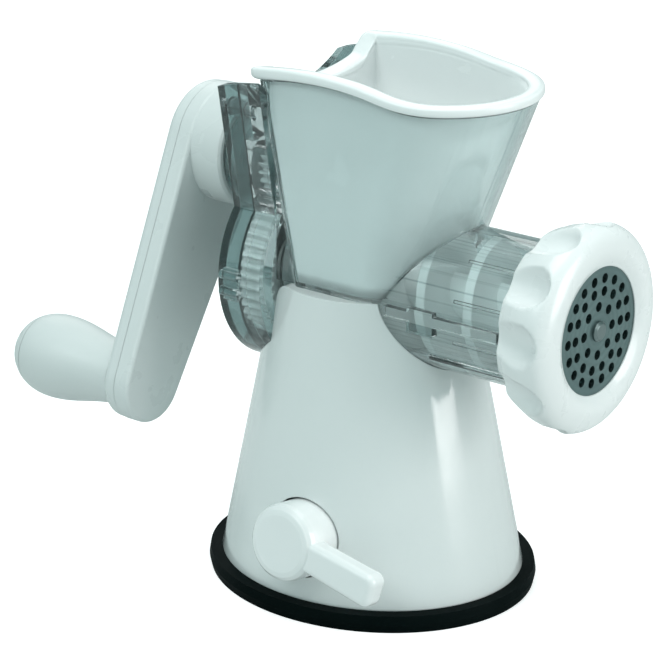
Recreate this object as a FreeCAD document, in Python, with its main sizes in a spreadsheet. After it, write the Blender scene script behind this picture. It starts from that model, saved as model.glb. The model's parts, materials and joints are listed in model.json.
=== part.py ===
import FreeCAD, Part
import math
import os
import re

import Sketcher
from FreeCAD import Placement, Rotation, Vector

# Hand crank meat grinder: an oval suction base carries a clear housing with a barrel, a hopper and a gear case.
# The frame: +Z up, origin on the worktop under the middle of the base, +X towards the cutting plate.

SIZES = {
    # base and foot
    "base_long": 64.5,
    "base_wide": 56.5,
    "base_top_radius": 38.4,
    "base_top": 127.5,
    "base_wall": 2.6,
    "base_corner": 8.5,
    "foot_height": 7.2,
    "foot_flange": 5.5,
    "cup_rim": 11.0,
    "membrane": 3.0,
    "plate_floor": 3.0,
    "boss_radius": 4.0,
    "seat_gap": 0.3,
    # barrel and cutting head
    "barrel_height": 126.5,
    "barrel_radius": 29.0,
    "bore_radius": 25.6,
    "barrel_end": 105.9,
    "disc_radius": 27.0,
    "disc_thick": 5.0,
    "disc_proud": 0.5,
    "disc_hole": 1.95,
    "thread_pitch": 4.0,
    "thread_height": 1.5,
    "thread_width": 1.5,
    "thread_gap": 0.4,
    "nut_long": 22.5,
    "nut_radius": 41.0,
    "nut_opening": 25.0,
    "nut_lip": 2.6,
    "nut_back_radius": 35.5,
    "scallop_count": 11,
    "groove_count": 10,
    "scallop_radius": 8.5,
    "scallop_depth": 2.2,
    "notch_long": 9.5,
    "rail_wide": 3.6,
    "rail_tall": 4.0,
    # gears and gear case
    "gear_module": 1.25,
    "drive_teeth": 48,
    "pinion_teeth": 18,
    "gear_face": 11.0,
    "tooth_play": 0.3,
    "case_front": 24.0,
    "case_split": 11.0,
    "case_depth": 21.0,
    "case_wall": 2.5,
    "case_radius": 42.0,
    "case_top_drop": 4.4,
    "case_top_half": 41.6,
    "case_dip": 15.0,
    "gear_gap": 1.5,
    "washer_thick": 2.0,
    # auger and its drive
    "auger_gap": 0.5,
    "auger_core": 9.0,
    "auger_pitch": 22.0,
    "flight_thick": 4.2,
    "drive_radius": 8.0,
    "drive_square": 11.0,
    "drive_reach": 14.0,
    "knife_square": 9.0,
    "knife_thick": 3.6,
    "knife_reach": 24.0,
    "pin_radius": 4.0,
    "running_gap": 0.05,
    # hopper
    "hopper_floor": 1.7,
    "hopper_bottom_half": 31.2,
    "hopper_bottom_rear": 14.0,
    "hopper_bottom_crease": 15.0,
    "hopper_bottom_front": 36.0,
    "hopper_top_half": 33.9,
    "hopper_top_rear": 25.4,
    "hopper_top_crease": 34.0,
    "hopper_top_front": 58.0,
    "hopper_lip_front": 67.5,
    "hopper_lip_tall": 17.4,
    "hopper_wall": 2.0,
    "hopper_corner": 2.5,
    "throat_half": 24.0,
    "skin_wall": 1.9,
    "skin_front_gap": 6.0,
    "rim_peak_height": 214.4,
    "rim_rear_drop": 6.6,
    "rim_front_drop": 4.8,
    "rim_front_run": 50.0,
    "rim_peak": 3.0,
    "rim_wide": 5.4,
    "rim_tall": 5.2,
    "rim_rear": 32.5,
    "rim_corner": 4.5,
    "rim_dip": 9.0,
    "rim_dip_run": 16.0,
    # crank
    "crank_lean": 28.5,
    "crank_throw": 103.0,
    "crank_hub_radius": 24.5,
    "crank_hub_long": 15.0,
    "arm_end_radius": 16.5,
    "arm_thick": 14.4,
    "arm_soft": 4.0,
    "shaft_radius": 6.0,
    "bush_radius": 9.0,
    "collar_radius": 22.0,
    "collar_long": 12.5,
    "knob_neck": 12.6,
    "knob_radius": 17.5,
    "knob_long": 57.0,
    "spindle_radius": 3.5,
    # suction lever
    "lever_offset": 5.0,
    "lever_height": 24.2,
    "lever_tilt": 8.5,
    "lever_lean": 11.0,
    "lever_hub_radius": 15.5,
    "lever_hub_proud": 14.0,
    "lever_gap": 0.7,
    "lever_long": 46.0,
    "lever_wide": 14.0,
    "lever_thick": 9.5,
    "lever_rod": 5.0,
    "cam_radius": 8.0,
    "cam_throw": 3.2,
    "cam_wide": 7.0,
    "yoke_wall": 3.0,
    "yoke_thick": 8.0,
}

doc = FreeCAD.newDocument("meat_grinder")
sheet = doc.addObject("Spreadsheet::Sheet", "sizes")
for row, (alias, amount) in enumerate(SIZES.items(), start=1):
    sheet.set("A%d" % row, alias)
    sheet.set("B%d" % row, str(amount))
    sheet.setAlias("B%d" % row, alias)
doc.recompute()

ALIASES = re.compile(r"\b(%s)\b" % "|".join(SIZES))
ALONG = {
    "x": Rotation(Vector(0, 1, 0), 90),
    "y": Rotation(Vector(1, 0, 0), -90),
    "z": Rotation(),
}
PARTS = []

# Places that several pieces share, written in the sheet's names.
CRANK_HEIGHT = "(barrel_height + gear_module * (drive_teeth + pinion_teeth) / 2)"
CASE_REAR = "(case_front + case_depth)"
CASE_TOP = "(rim_peak_height - case_top_drop)"
CHAMBER_FRONT = "(case_front + case_wall)"
GEAR_FRONT = "(case_front + case_wall + washer_thick + seat_gap)"
GEAR_REAR = "(case_front + case_wall + washer_thick + seat_gap + gear_face)"
COVER_INSIDE = "(case_front + case_depth - case_wall)"
COLLAR_REAR = "(case_front + case_depth + collar_long)"
HUB_FRONT = "(case_front + case_depth + collar_long + gear_gap)"
ARM_FRONT = "(case_front + case_depth + collar_long + gear_gap + crank_hub_long)"
ARM_REAR = "(case_front + case_depth + collar_long + gear_gap + crank_hub_long + arm_thick)"
DISC_REAR = "(barrel_end + disc_proud - disc_thick)"
DISC_FRONT = "(barrel_end + disc_proud)"
HOPPER_BOTTOM = "(base_top + seat_gap + hopper_floor)"
HOPPER_SHOULDER = "(rim_peak_height - hopper_lip_tall)"
AUGER_REAR = "(seat_gap + washer_thick - case_front)"
KNIFE_REAR = "(barrel_end + disc_proud - disc_thick - seat_gap - knife_thick)"
KNOB_Y = "(-crank_throw * sin(crank_lean))"
KNOB_Z = "(%s - crank_throw * cos(crank_lean))" % CRANK_HEIGHT
CUP_LONG = "(base_long + foot_flange)"
CUP_WIDE = "(base_wide + foot_flange)"
STEM_BASE = "(membrane + running_gap)"
YOKE_HALF = "(cam_radius + cam_wide * sin(lever_tilt) / 2 + 2 * seat_gap)"
CAM_DROP = "(cam_throw * sin(45))"


def ref(expression):
    """The expression with each size's name pointing at the sheet."""
    return ALIASES.sub(r"sizes.\1", str(expression))


def num(expression):
    """The expression's value now."""
    return float(sheet.evalExpression(str(expression)))


def bind(item, **bindings):
    for name, expression in bindings.items():
        item.setExpression(name, ref(expression))


def place(item, at, turn=None):
    """Bind an object's position, after giving it a fixed direction."""
    if turn is not None:
        item.Placement = Placement(Vector(), turn)
    for axis, expression in zip("xyz", at):
        item.setExpression("Placement.Base." + axis, ref(expression))


def keep(item, label):
    """Name a finished sub-part and list it for export."""
    item.Label = label
    PARTS.append(item)
    return item


def rod(name, radius, length, at, along="x"):
    item = doc.addObject("Part::Cylinder", name)
    bind(item, Radius=radius, Height=length)
    place(item, at, ALONG[along])
    return item


def block(name, long, wide, tall, at):
    item = doc.addObject("Part::Box", name)
    bind(item, Length=long, Width=wide, Height=tall)
    place(item, at)
    return item


def fused(name, items):
    item = doc.addObject("Part::MultiFuse", name)
    item.Shapes = items
    return item


def cut(name, base, tools):
    item = doc.addObject("Part::Cut", name)
    item.Base = base
    item.Tool = tools[0] if len(tools) == 1 else fused(name + "_tools", tools)
    return item


def common(name, items):
    item = doc.addObject("Part::MultiCommon", name)
    item.Shapes = items
    return item


def feature(name, shape):
    item = doc.addObject("Part::Feature", name)
    item.Shape = shape
    return item


def origin_plane(body, role):
    return next(plane for plane in body.Origin.OriginFeatures if plane.Role == role)


def new_sketch(body, name, role):
    sketch = body.newObject("Sketcher::SketchObject", name)
    sketch.AttachmentSupport = [(origin_plane(body, role), "")]
    sketch.MapMode = "FlatFace"
    return sketch


def draw_outline(sketch, corners):
    """A closed outline of straight edges, each corner bound to its two expressions."""
    places = [Vector(num(across), num(up), 0) for across, up in corners]
    count = len(places)
    for index, start in enumerate(places):
        sketch.addGeometry(Part.LineSegment(start, places[(index + 1) % count]), False)
    for index in range(count):
        sketch.addConstraint(Sketcher.Constraint("Coincident", index, 2, (index + 1) % count, 1))
    for index, corner in enumerate(corners):
        for kind, expression in zip(("DistanceX", "DistanceY"), corner):
            number = sketch.addConstraint(Sketcher.Constraint(kind, -1, 1, index, 1, num(expression)))
            sketch.setExpression("Constraints[%d]" % number, ref(expression))


def turned(label, corners, at):
    """A body turned about an axis along X; each corner is a distance along X and a radius."""
    body = doc.addObject("PartDesign::Body", label)
    sketch = new_sketch(body, label + "_outline", "XY_Plane")
    draw_outline(sketch, corners)
    turn = body.newObject("PartDesign::Revolution", label + "_turn")
    turn.Profile = sketch
    turn.ReferenceAxis = (sketch, ["H_Axis"])
    turn.Angle = 360
    place(body, at)
    return body


def tube_outline(start, stop, inner, outer):
    return [(start, inner), (stop, inner), (stop, outer), (start, outer)]


def soften(body, last, radius, wanted):
    """Round the edges of a body's last feature that the test picks."""
    doc.recompute()
    names = ["Edge%d" % (i + 1) for i, edge in enumerate(last.Shape.Edges) if wanted(edge)]
    fillet = body.newObject("PartDesign::Fillet", body.Name + "_soft")
    fillet.Base = (last, names)
    bind(fillet, Radius=radius)
    return fillet


def solid_loft(sections):
    return Part.makeLoft(sections, True, True)


def face_prism(wire, along):
    return Part.Face(wire).extrude(along)


def ringed(angle_count, radius, start=0.0):
    """Points spaced evenly round a circle, as pairs across and up."""
    step = 2 * math.pi / angle_count
    return [
        (radius * math.cos(start + step * i), radius * math.sin(start + step * i))
        for i in range(angle_count)
    ]


def x_rod(radius, start, stop, y=0.0, z=0.0):
    return Part.makeCylinder(radius, stop - start, Vector(start, y, z), Vector(1, 0, 0))


def helix_ridge(profile, pitch, turns, start_x, height):
    """Sweep a closed profile, drawn in the plane through the axis, along a right-handed helix about X."""
    path = Part.makeHelix(pitch, pitch * turns, 10.0)
    section = Part.makePolygon([Vector(r, 0, x) for x, r in profile + profile[:1]])
    ridge = Part.Wire(path.Edges).makePipeShell([section], True, True)
    ridge.Placement = Placement(Vector(start_x, 0, height), ALONG["x"])
    return ridge


# Base shell: an oval cone cut flat at the barrel's axis, with a bed for the barrel and one for the gear case.

def oval(name, long, wide, height):
    item = doc.addObject("Part::Ellipse", name)
    bind(item, MajorRadius=long, MinorRadius=wide)
    place(item, ("0", "0", height))
    return item


def ring(name, radius, height):
    item = doc.addObject("Part::Circle", name)
    bind(item, Radius=radius)
    place(item, ("0", "0", height))
    return item


def cone_loft(name, inset):
    item = doc.addObject("Part::Loft", name)
    item.Sections = [
        oval(name + "_low", "base_long - %s" % inset, "base_wide - %s" % inset, "foot_height"),
        ring(name + "_high", "base_top_radius - %s" % inset, "base_top"),
    ]
    item.Solid = True
    item.Ruled = True
    return item


def lever_rod(name, radius, length, start):
    """A rod on the tilted lever axis, from a distance along it, counted outwards from the middle."""
    item = doc.addObject("Part::Cylinder", name)
    bind(item, Radius=radius, Height=length)
    item.Placement = Placement(Vector(), Rotation(Vector(1, 0, 0), 90))
    item.setExpression("Placement.Rotation.Angle", ref("90 - lever_tilt"))
    place(item, (
        "lever_offset",
        "-(%s) * cos(lever_tilt)" % start,
        "lever_height + (%s) * sin(lever_tilt)" % start,
    ))
    return item


REACH = "(2 * base_long)"
PLATE_SCREW_X = "((base_long - base_wall - boss_radius) * cos(45))"
PLATE_SCREW_Y = "((base_wide - base_wall - boss_radius) * sin(45))"
CORNERS = [(1, 1), (-1, 1), (-1, -1), (1, -1)]
HOUSING_SCREW_X = ["10", "30"]
SCREW_RADIUS = "1.9"
SCREW_HEAD = "3.6"


def make_base_shell():
    outer = cone_loft("base_outer", "0")
    skin = cut("base_skin", outer, [cone_loft("base_inner", "base_wall")])
    bosses = [
        rod("base_boss_%d" % i, "boss_radius", "26", (
            "%d * %s" % (sx, PLATE_SCREW_X), "%d * %s" % (sy, PLATE_SCREW_Y), "foot_height + plate_floor"), "z")
        for i, (sx, sy) in enumerate(CORNERS)
    ]
    cradle = rod("base_cradle", "barrel_radius + seat_gap + base_wall", "2 * " + REACH,
                 ("-" + REACH, "0", "barrel_height"))
    pocket = rod("base_pocket", "case_radius + seat_gap + base_wall",
                 REACH + " - case_front + seat_gap + base_wall",
                 ("-" + REACH, "0", "barrel_height"))
    deck = rod("base_deck", "base_top_radius + base_wall", "base_wall", ("0", "0", "base_top - base_wall"), "z")
    walls = common("base_walls", [fused("base_inside", bosses + [cradle, pocket, deck]), outer])
    whole = fused("base_whole", [skin, walls])
    barrel_bed = rod("barrel_bed", "barrel_radius + seat_gap", "2 * " + REACH,
                     ("-" + REACH, "0", "barrel_height"))
    case_bed = rod("case_bed", "case_radius + seat_gap", REACH + " - case_front + seat_gap",
                   ("-" + REACH, "0", "barrel_height"))
    corner_block = block("corner_block", "base_corner + 1", REACH, "base_corner + 1",
                         ("-case_front - 1", "-base_long", "base_top - base_corner"))
    corner_round = rod("corner_round", "base_corner", REACH,
                       ("base_corner - case_front + seat_gap", "-base_long", "base_top - base_corner"), "y")
    corner = cut("corner_cut", corner_block, [corner_round])
    lever_hole = lever_rod("lever_hole", "lever_hub_radius + lever_gap", "base_wide", "base_wide / 2")
    pilots = [
        rod("plate_pilot_%d" % i, SCREW_RADIUS, "12", (
            "%d * %s" % (sx, PLATE_SCREW_X), "%d * %s" % (sy, PLATE_SCREW_Y),
            "foot_height + plate_floor - 1"), "z")
        for i, (sx, sy) in enumerate(CORNERS)
    ]
    seats = [
        rod("housing_hole_%d" % i, SCREW_RADIUS, "12",
            (place_x, "0", "barrel_height - barrel_radius - seat_gap - base_wall - 2"), "z")
        for i, place_x in enumerate(HOUSING_SCREW_X)
    ]
    rooms = [barrel_bed, case_bed, corner, lever_hole] + pilots + seats
    return keep(cut("base_shell", whole, rooms), "base_shell")


# Base plate: closes the base from below and carries the lever's shaft on two posts.

POST_INNER = "23"
POST_THICK = "8"
STEM_HOLE = "22"


def make_base_plate():
    floor = doc.addObject("Part::Loft", "plate_floor_loft")
    inset = "base_wall - seat_gap - plate_floor * (base_long - base_top_radius) / (base_top - foot_height)"
    floor.Sections = [
        oval("plate_low", "base_long - (%s) - 2 * seat_gap - 1" % inset,
             "base_wide - (%s) - 2 * seat_gap - 1" % inset,
             "foot_height"),
        oval("plate_high", "base_long - (%s) - 2 * seat_gap - 2" % inset,
             "base_wide - (%s) - 2 * seat_gap - 2" % inset, "foot_height + plate_floor"),
    ]
    floor.Solid = True
    floor.Ruled = True
    posts = [
        block("lever_post_%s" % side, "4 * lever_rod", POST_THICK, "lever_height + 2 * lever_rod - foot_height",
              ("lever_offset - 2 * lever_rod", start, "foot_height"))
        for side, start in (("near", "-%s - %s" % (POST_INNER, POST_THICK)), ("far", POST_INNER))
    ]
    whole = fused("base_plate_whole", [floor] + posts)
    hole = rod("stem_hole", STEM_HOLE, "2 * plate_floor", ("0", "0", "foot_height - plate_floor / 2"), "z")
    bearing = lever_rod("lever_bearing", "lever_rod + running_gap", "2 * base_wide", "-base_wide")
    screws = [
        rod("plate_hole_%d" % i, SCREW_RADIUS + " + 0.2", "10", (
            "%d * %s" % (sx, PLATE_SCREW_X), "%d * %s" % (sy, PLATE_SCREW_Y), "foot_height - 3"), "z")
        for i, (sx, sy) in enumerate(CORNERS)
    ]
    return keep(cut("base_plate", whole, [hole, bearing] + screws), "base_plate")


def make_screws(label, head_radius, places, head_thick, length):
    """One node of like screws, each a head and a shank along Z or X."""
    pieces = []
    for i, (at, along, sign) in enumerate(places):
        head_at = list(at)
        shank_at = list(at)
        axis = "xyz".index(along)
        if sign > 0:
            shank_at[axis] = "%s + %s" % (at[axis], head_thick)
        else:
            head_at[axis] = "%s - %s" % (at[axis], head_thick)
            shank_at[axis] = "%s - %s - (%s)" % (at[axis], head_thick, length)
        head = rod("%s_head_%d" % (label, i), head_radius, head_thick, head_at, along)
        shank = rod("%s_shank_%d" % (label, i), SCREW_RADIUS, length, shank_at, along)
        pieces.append(fused("%s_%d" % (label, i), [head, shank]))
    group = doc.addObject("Part::Compound", label)
    group.Links = pieces
    return keep(group, label)


def make_base_screws():
    places = [
        (("%d * %s" % (sx, PLATE_SCREW_X), "%d * %s" % (sy, PLATE_SCREW_Y), "foot_height - 1.6"), "z", 1)
        for sx, sy in CORNERS
    ]
    return make_screws("base_screws", SCREW_HEAD, places, "1.6", "plate_floor + 10")


def make_housing_screws():
    low = "barrel_height - barrel_radius - seat_gap - base_wall - 1.6"
    places = [((place_x, "0", low), "z", 1) for place_x in HOUSING_SCREW_X]
    return make_screws("housing_screws", SCREW_HEAD, places, "1.6", "base_wall + seat_gap + 2.4")


# Suction cup: one rubber pad, flat underneath, with a thick foot rim round a membrane and room for screw heads.

def make_suction_cup():
    body = doc.addObject("Part::Loft", "cup_body")
    body.Sections = [
        oval("cup_low", CUP_LONG + " - 0.8", CUP_WIDE + " - 0.8", "0"),
        oval("cup_mid", CUP_LONG, CUP_WIDE, "foot_height / 2"),
        oval("cup_high", CUP_LONG + " - 0.6", CUP_WIDE + " - 0.6", "foot_height"),
    ]
    body.Solid = True
    body.Ruled = True
    hollow = doc.addObject("Part::Loft", "cup_hollow")
    hollow.Sections = [
        oval("hollow_low", CUP_LONG + " - cup_rim - 3", CUP_WIDE + " - cup_rim - 3", "membrane"),
        oval("hollow_high", CUP_LONG + " - cup_rim", CUP_WIDE + " - cup_rim", "foot_height"),
    ]
    hollow.Solid = True
    hollow.Ruled = True
    pockets = [
        rod("cup_pocket_%d" % i, SCREW_HEAD + " + seat_gap", "4", (
            "%d * %s" % (sx, PLATE_SCREW_X), "%d * %s" % (sy, PLATE_SCREW_Y),
            "foot_height - 1.6 - seat_gap"), "z")
        for i, (sx, sy) in enumerate(CORNERS)
    ]
    return keep(cut("suction_cup", body, [hollow] + pockets), "suction_cup")


YOKE_BOTTOM = "(lever_height - %s - %s - yoke_wall)" % (CAM_DROP, YOKE_HALF)
YOKE_HALF_LONG = "(cam_radius + cam_throw + seat_gap + yoke_wall)"
STEM_DISC = "19"


def make_cup_stem():
    disc = rod("stem_disc", STEM_DISC, "3", ("0", "0", STEM_BASE), "z")
    post = rod("stem_post", "6", YOKE_BOTTOM + " - " + STEM_BASE, ("0", "0", STEM_BASE), "z")
    stud = rod("stem_stud", "2.5", YOKE_BOTTOM + " - " + STEM_BASE + " + yoke_wall", ("0", "0", STEM_BASE), "z")
    return keep(fused("cup_stem", [disc, post, stud]), "cup_stem")


def make_pull_yoke():
    frame = block("yoke_frame", "2 * " + YOKE_HALF_LONG, "yoke_thick", "2 * (%s + yoke_wall)" % YOKE_HALF,
                  ("lever_offset - " + YOKE_HALF_LONG, "-yoke_thick / 2", YOKE_BOTTOM))
    foot = rod("yoke_foot", "6", "yoke_wall", ("0", "0", YOKE_BOTTOM), "z")
    whole = fused("yoke_whole", [frame, foot])
    window = block("yoke_window", "2 * (%s - yoke_wall)" % YOKE_HALF_LONG, "2 * yoke_thick", "2 * " + YOKE_HALF,
                   ("lever_offset - %s + yoke_wall" % YOKE_HALF_LONG, "-yoke_thick",
                    YOKE_BOTTOM + " + yoke_wall"))
    stud_hole = rod("yoke_stud_hole", "2.5", "2 * yoke_wall", ("0", "0", YOKE_BOTTOM + " - yoke_wall / 2"), "z")
    return keep(cut("pull_yoke", whole, [window, stud_hole]), "pull_yoke")


# Lever: a hub and a paddle on the tilted shaft, whose eye cam lifts the yoke.

LEVER_WALL = "((base_wide - (lever_height - foot_height) * (base_wide - base_top_radius)" \
             " / (base_top - foot_height)) * cos(lever_tilt))"
LEVER_FACE = "(%s + lever_hub_proud)" % LEVER_WALL
SHAFT_END = "((%s + %s + seat_gap + (lever_rod + 3) * sin(lever_tilt)) / cos(lever_tilt) + 2.2)" % (
    POST_INNER, POST_THICK)


def make_lever_shaft():
    shaft = lever_rod("lever_spindle", "lever_rod", "%s + 3 + %s" % (LEVER_WALL, SHAFT_END), "-" + SHAFT_END)
    cam = lever_rod("lever_cam_blank", "cam_radius", "cam_wide", "-cam_wide / 2")
    offset_x = "lever_offset + cam_throw * cos(45)"
    rise = "-%s" % CAM_DROP
    place(cam, (
        offset_x,
        "cam_wide / 2 * cos(lever_tilt) + (%s) * sin(lever_tilt)" % rise,
        "lever_height - cam_wide / 2 * sin(lever_tilt) + (%s) * cos(lever_tilt)" % rise,
    ))
    return keep(fused("lever_shaft", [shaft, cam]), "lever_shaft")


def make_lever_clip():
    ring_out = lever_rod("clip_outer", "lever_rod + 3", "1.2", "1 - " + SHAFT_END)
    clip_hole = lever_rod("clip_hole", "lever_rod", "3", "-" + SHAFT_END)
    return keep(cut("lever_clip", ring_out, [clip_hole]), "lever_clip")


def lever_place(start, turn):
    """A placement on the lever's axis, at a distance outwards along it."""
    tilt = math.radians(num("lever_tilt"))
    at = Vector(num("lever_offset"), -start * math.cos(tilt), num("lever_height") + start * math.sin(tilt))
    return Placement(at, Rotation(Vector(1, 0, 0), 90 - num("lever_tilt")).multiply(turn))


LEVER_SUNK = "6"


def make_suction_lever():
    """Hub and paddle drawn square to the shaft, then tilted with it."""
    inner = num(LEVER_WALL) - num(LEVER_SUNK)
    outer = "(lever_hub_proud + %s)" % LEVER_SUNK
    hub = turned("lever_hub", [
        ("0", "0"),
        ("0", "lever_hub_radius"),
        (outer + " - 4", "lever_hub_radius"),
        (outer + " - 2", "lever_hub_radius - 0.6"),
        (outer + " - 0.6", "lever_hub_radius - 2"),
        (outer, "lever_hub_radius - 4"),
        (outer, "0"),
    ], ("0", "0", "0"))
    for axis in "xyz":
        hub.setExpression("Placement.Base." + axis, None)
    hub.Placement = lever_place(inner, Rotation(Vector(1, 0, 0), Vector(0, 0, 1)))
    body = doc.addObject("PartDesign::Body", "lever_arm_body")
    sketch = new_sketch(body, "lever_arm_outline", "XY_Plane")
    draw_outline(sketch, [
        ("0", "-lever_wide * 0.44"),
        ("lever_long", "-lever_wide / 2"),
        ("lever_long", "lever_wide / 2"),
        ("0", "lever_wide * 0.44"),
    ])
    arm = body.newObject("PartDesign::Pad", "lever_arm")
    arm.Profile = sketch
    bind(arm, Length="lever_thick")
    tip = num("lever_long") - 0.1
    corner = soften(body, arm, "lever_wide * 0.28",
                    lambda edge: edge.BoundBox.XMin > tip and edge.BoundBox.ZLength > 1)
    soft = soften(body, corner, "lever_thick * 0.28",
                  lambda edge: edge.BoundBox.XMax > 1 and edge.BoundBox.ZLength < 0.01)
    body.Tip = soft
    lean = Rotation(Vector(0, 0, 1), -num("lever_lean"))
    body.Placement = lever_place(num(LEVER_FACE) - num("lever_thick") - 1, lean)
    socket = lever_rod("lever_socket", "lever_rod", "lever_hub_proud", LEVER_WALL + " - 11")
    return keep(cut("suction_lever", fused("lever_whole", [hub, body]), [socket]), "suction_lever")


# Gear case outline: a round lower end about the barrel's axis, drawn-in sides and a dipped top.

def case_outline(x, inset):
    """The case's outline in the plane at x, drawn in by an inset."""
    low = num("barrel_height")
    radius = num("case_radius") - inset
    top = num(CASE_TOP) - inset
    half = num("case_top_half") - inset
    dip = num("case_dip")
    waist_angle = math.radians(41.0)
    waist_y = radius * math.cos(waist_angle)
    waist_z = low + radius * math.sin(waist_angle)
    near_waist = Vector(x, -waist_y, waist_z)
    far_waist = Vector(x, waist_y, waist_z)
    near_top = Vector(x, -half, top)
    far_top = Vector(x, half, top)
    edges = [
        Part.LineSegment(near_top, near_waist).toShape(),
        Part.Arc(near_waist, Vector(x, 0, low - radius), far_waist).toShape(),
        Part.LineSegment(far_waist, far_top).toShape(),
        Part.Arc(far_top, Vector(x, 0, top - dip), near_top).toShape(),
    ]
    return Part.Wire(edges)


def case_slab(start, stop, inset):
    return face_prism(case_outline(start, inset), Vector(stop - start, 0, 0))


def case_screw_points():
    """Screw places inside the case's rim: two near the top corners, two beside the drive gear."""
    high = num(CASE_TOP) - 14
    wide = num("case_top_half") - 8.5
    low_radius = num("case_radius") - 4.6
    low_angle = math.radians(-52)
    low_y = low_radius * math.cos(low_angle)
    low_z = num("barrel_height") + low_radius * math.sin(low_angle)
    return [(-wide, high), (wide, high), (-low_y, low_z), (low_y, low_z)]


CASE_BOSS = 3.4


# Hopper sections: flat sides, a flat rear with soft corners and a half-oval front.

def hopper_section(height, rear, crease, front, half, corner):
    rear_x = -rear
    low = Vector(rear_x + corner, -half, height)
    high = Vector(rear_x + corner, half, height)
    low_rear = Vector(rear_x, -half + corner, height)
    high_rear = Vector(rear_x, half - corner, height)
    turn = corner * (1 - math.sqrt(0.5))
    near_crease = Vector(crease, -half, height)
    far_crease = Vector(crease, half, height)
    long_front = front - crease
    if long_front >= half:
        oval_front = Part.Ellipse(Vector(front, 0, height), far_crease, Vector(crease, 0, height))
        front_edges = [oval_front.trim(1.5 * math.pi, 2 * math.pi), oval_front.trim(0, 0.5 * math.pi)]
    else:
        oval_front = Part.Ellipse(far_crease, Vector(crease - long_front, 0, height), Vector(crease, 0, height))
        front_edges = [oval_front.trim(math.pi, 1.5 * math.pi), oval_front.trim(1.5 * math.pi, 2 * math.pi)]
    edges = [
        Part.LineSegment(low, near_crease).toShape(),
        front_edges[0].toShape(),
        front_edges[1].toShape(),
        Part.LineSegment(far_crease, high).toShape(),
        Part.Arc(high, Vector(rear_x + turn, half - turn, height), high_rear).toShape(),
        Part.LineSegment(high_rear, low_rear).toShape(),
        Part.Arc(low_rear, Vector(rear_x + turn, -half + turn, height), low).toShape(),
    ]
    return Part.Wire(Part.sortEdges(edges)[0])


RIM_FRONT = "(hopper_lip_front - hopper_wall / 2 + rim_wide)"
RIM_INNER_REAR = "(hopper_top_rear - hopper_wall / 2)"


def bow_fall(along, reach, fall):
    """How far an arc that starts level, and falls by an amount over its reach, has fallen part of the way."""
    radius = (reach ** 2 + fall ** 2) / (2 * fall)
    return radius - math.sqrt(radius ** 2 - along ** 2)


def bow(start, stop, height, fall):
    """An arc in a plane that leaves its start level and has fallen, or risen, at its stop: three points."""
    reach = stop - start
    half_fall = math.copysign(bow_fall(reach / 2, reach, abs(fall)), fall)
    return [(start, height), (start + reach / 2, height - half_fall), (stop, height - fall)]


def arch_edges(drop):
    """The rim's middle line seen from the side, lowered by a drop: it falls from a peak to the rear, and
    in an S to a level front."""
    height = num("rim_peak_height") - drop
    peak = num("rim_peak")
    rear = -num(CASE_REAR)
    level = peak + num("rim_front_run")
    middle = (peak + level) / 2
    fall = num("rim_front_drop") / 2
    low = height - 2 * fall
    behind = list(reversed(bow(peak, rear, height, num("rim_rear_drop"))))
    run_out = [(rear - 1, behind[0][1]), behind[0]]
    upper = bow(peak, middle, height, fall)
    lower = list(reversed(bow(level, middle, low, -fall)))
    front = [(level, low), (2 * num(RIM_FRONT), low)]
    return [run_out, behind, upper, lower, front]


def drawn_edges(edges, spot):
    """Lines and arcs through the given plane points."""
    shapes = []
    for edge in edges:
        points = [spot(*pair) for pair in edge]
        if len(points) == 2:
            shapes.append(Part.LineSegment(*points).toShape())
        else:
            shapes.append(Part.Arc(*points).toShape())
    return shapes


def slab_between(low_edges, high_edges, spot, along):
    """The room between two like chains of edges, carried along a direction."""
    low = drawn_edges(low_edges, spot)
    high = drawn_edges(high_edges, spot)
    ends = [
        Part.LineSegment(spot(*low_edges[0][0]), spot(*high_edges[0][0])).toShape(),
        Part.LineSegment(spot(*low_edges[-1][-1]), spot(*high_edges[-1][-1])).toShape(),
    ]
    return face_prism(Part.Wire(Part.sortEdges(low + high + ends)[0]), along)


def arch_slab(low_drop, high_drop):
    """The room between the rim's middle line lowered by two drops, from side to side."""
    wide = 2 * num("case_top_half")

    def side_spot(x, z):
        return Vector(x, -wide, z)

    return slab_between(arch_edges(low_drop), arch_edges(high_drop), side_spot, Vector(0, 2 * wide, 0))


def dip_edges(drop):
    """The rim's middle line seen from the rear, lowered by a drop: level corners and a hollow between them."""
    past = num("rim_peak") + num(RIM_INNER_REAR)
    reach = num("rim_peak") + num(CASE_REAR)
    top = num("rim_peak_height") - bow_fall(past, reach, num("rim_rear_drop")) - drop
    level = num("hopper_top_half + rim_wide / 4")
    half_run = num("rim_dip_run") / 2
    fall = num("rim_dip") / 2
    floor = level - 2 * half_run
    low = top - 2 * fall
    outside = 2 * num("case_top_half")
    upper = bow(level, level - half_run, top, fall)
    lower = list(reversed(bow(floor, level - half_run, low, -fall)))
    far = [[(outside, top), (level, top)], upper, lower]
    near = [[(-y, z) for y, z in reversed(edge)] for edge in reversed(far)]
    return far + [[(floor, low), (-floor, low)]] + near


def dip_slab(low_drop, high_drop, start, stop):
    """The room between the rim's rear line lowered by two drops, between two places along the barrel."""

    def rear_spot(y, z):
        return Vector(start, y, z)

    return slab_between(dip_edges(low_drop), dip_edges(high_drop), rear_spot, Vector(stop - start, 0, 0))


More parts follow.
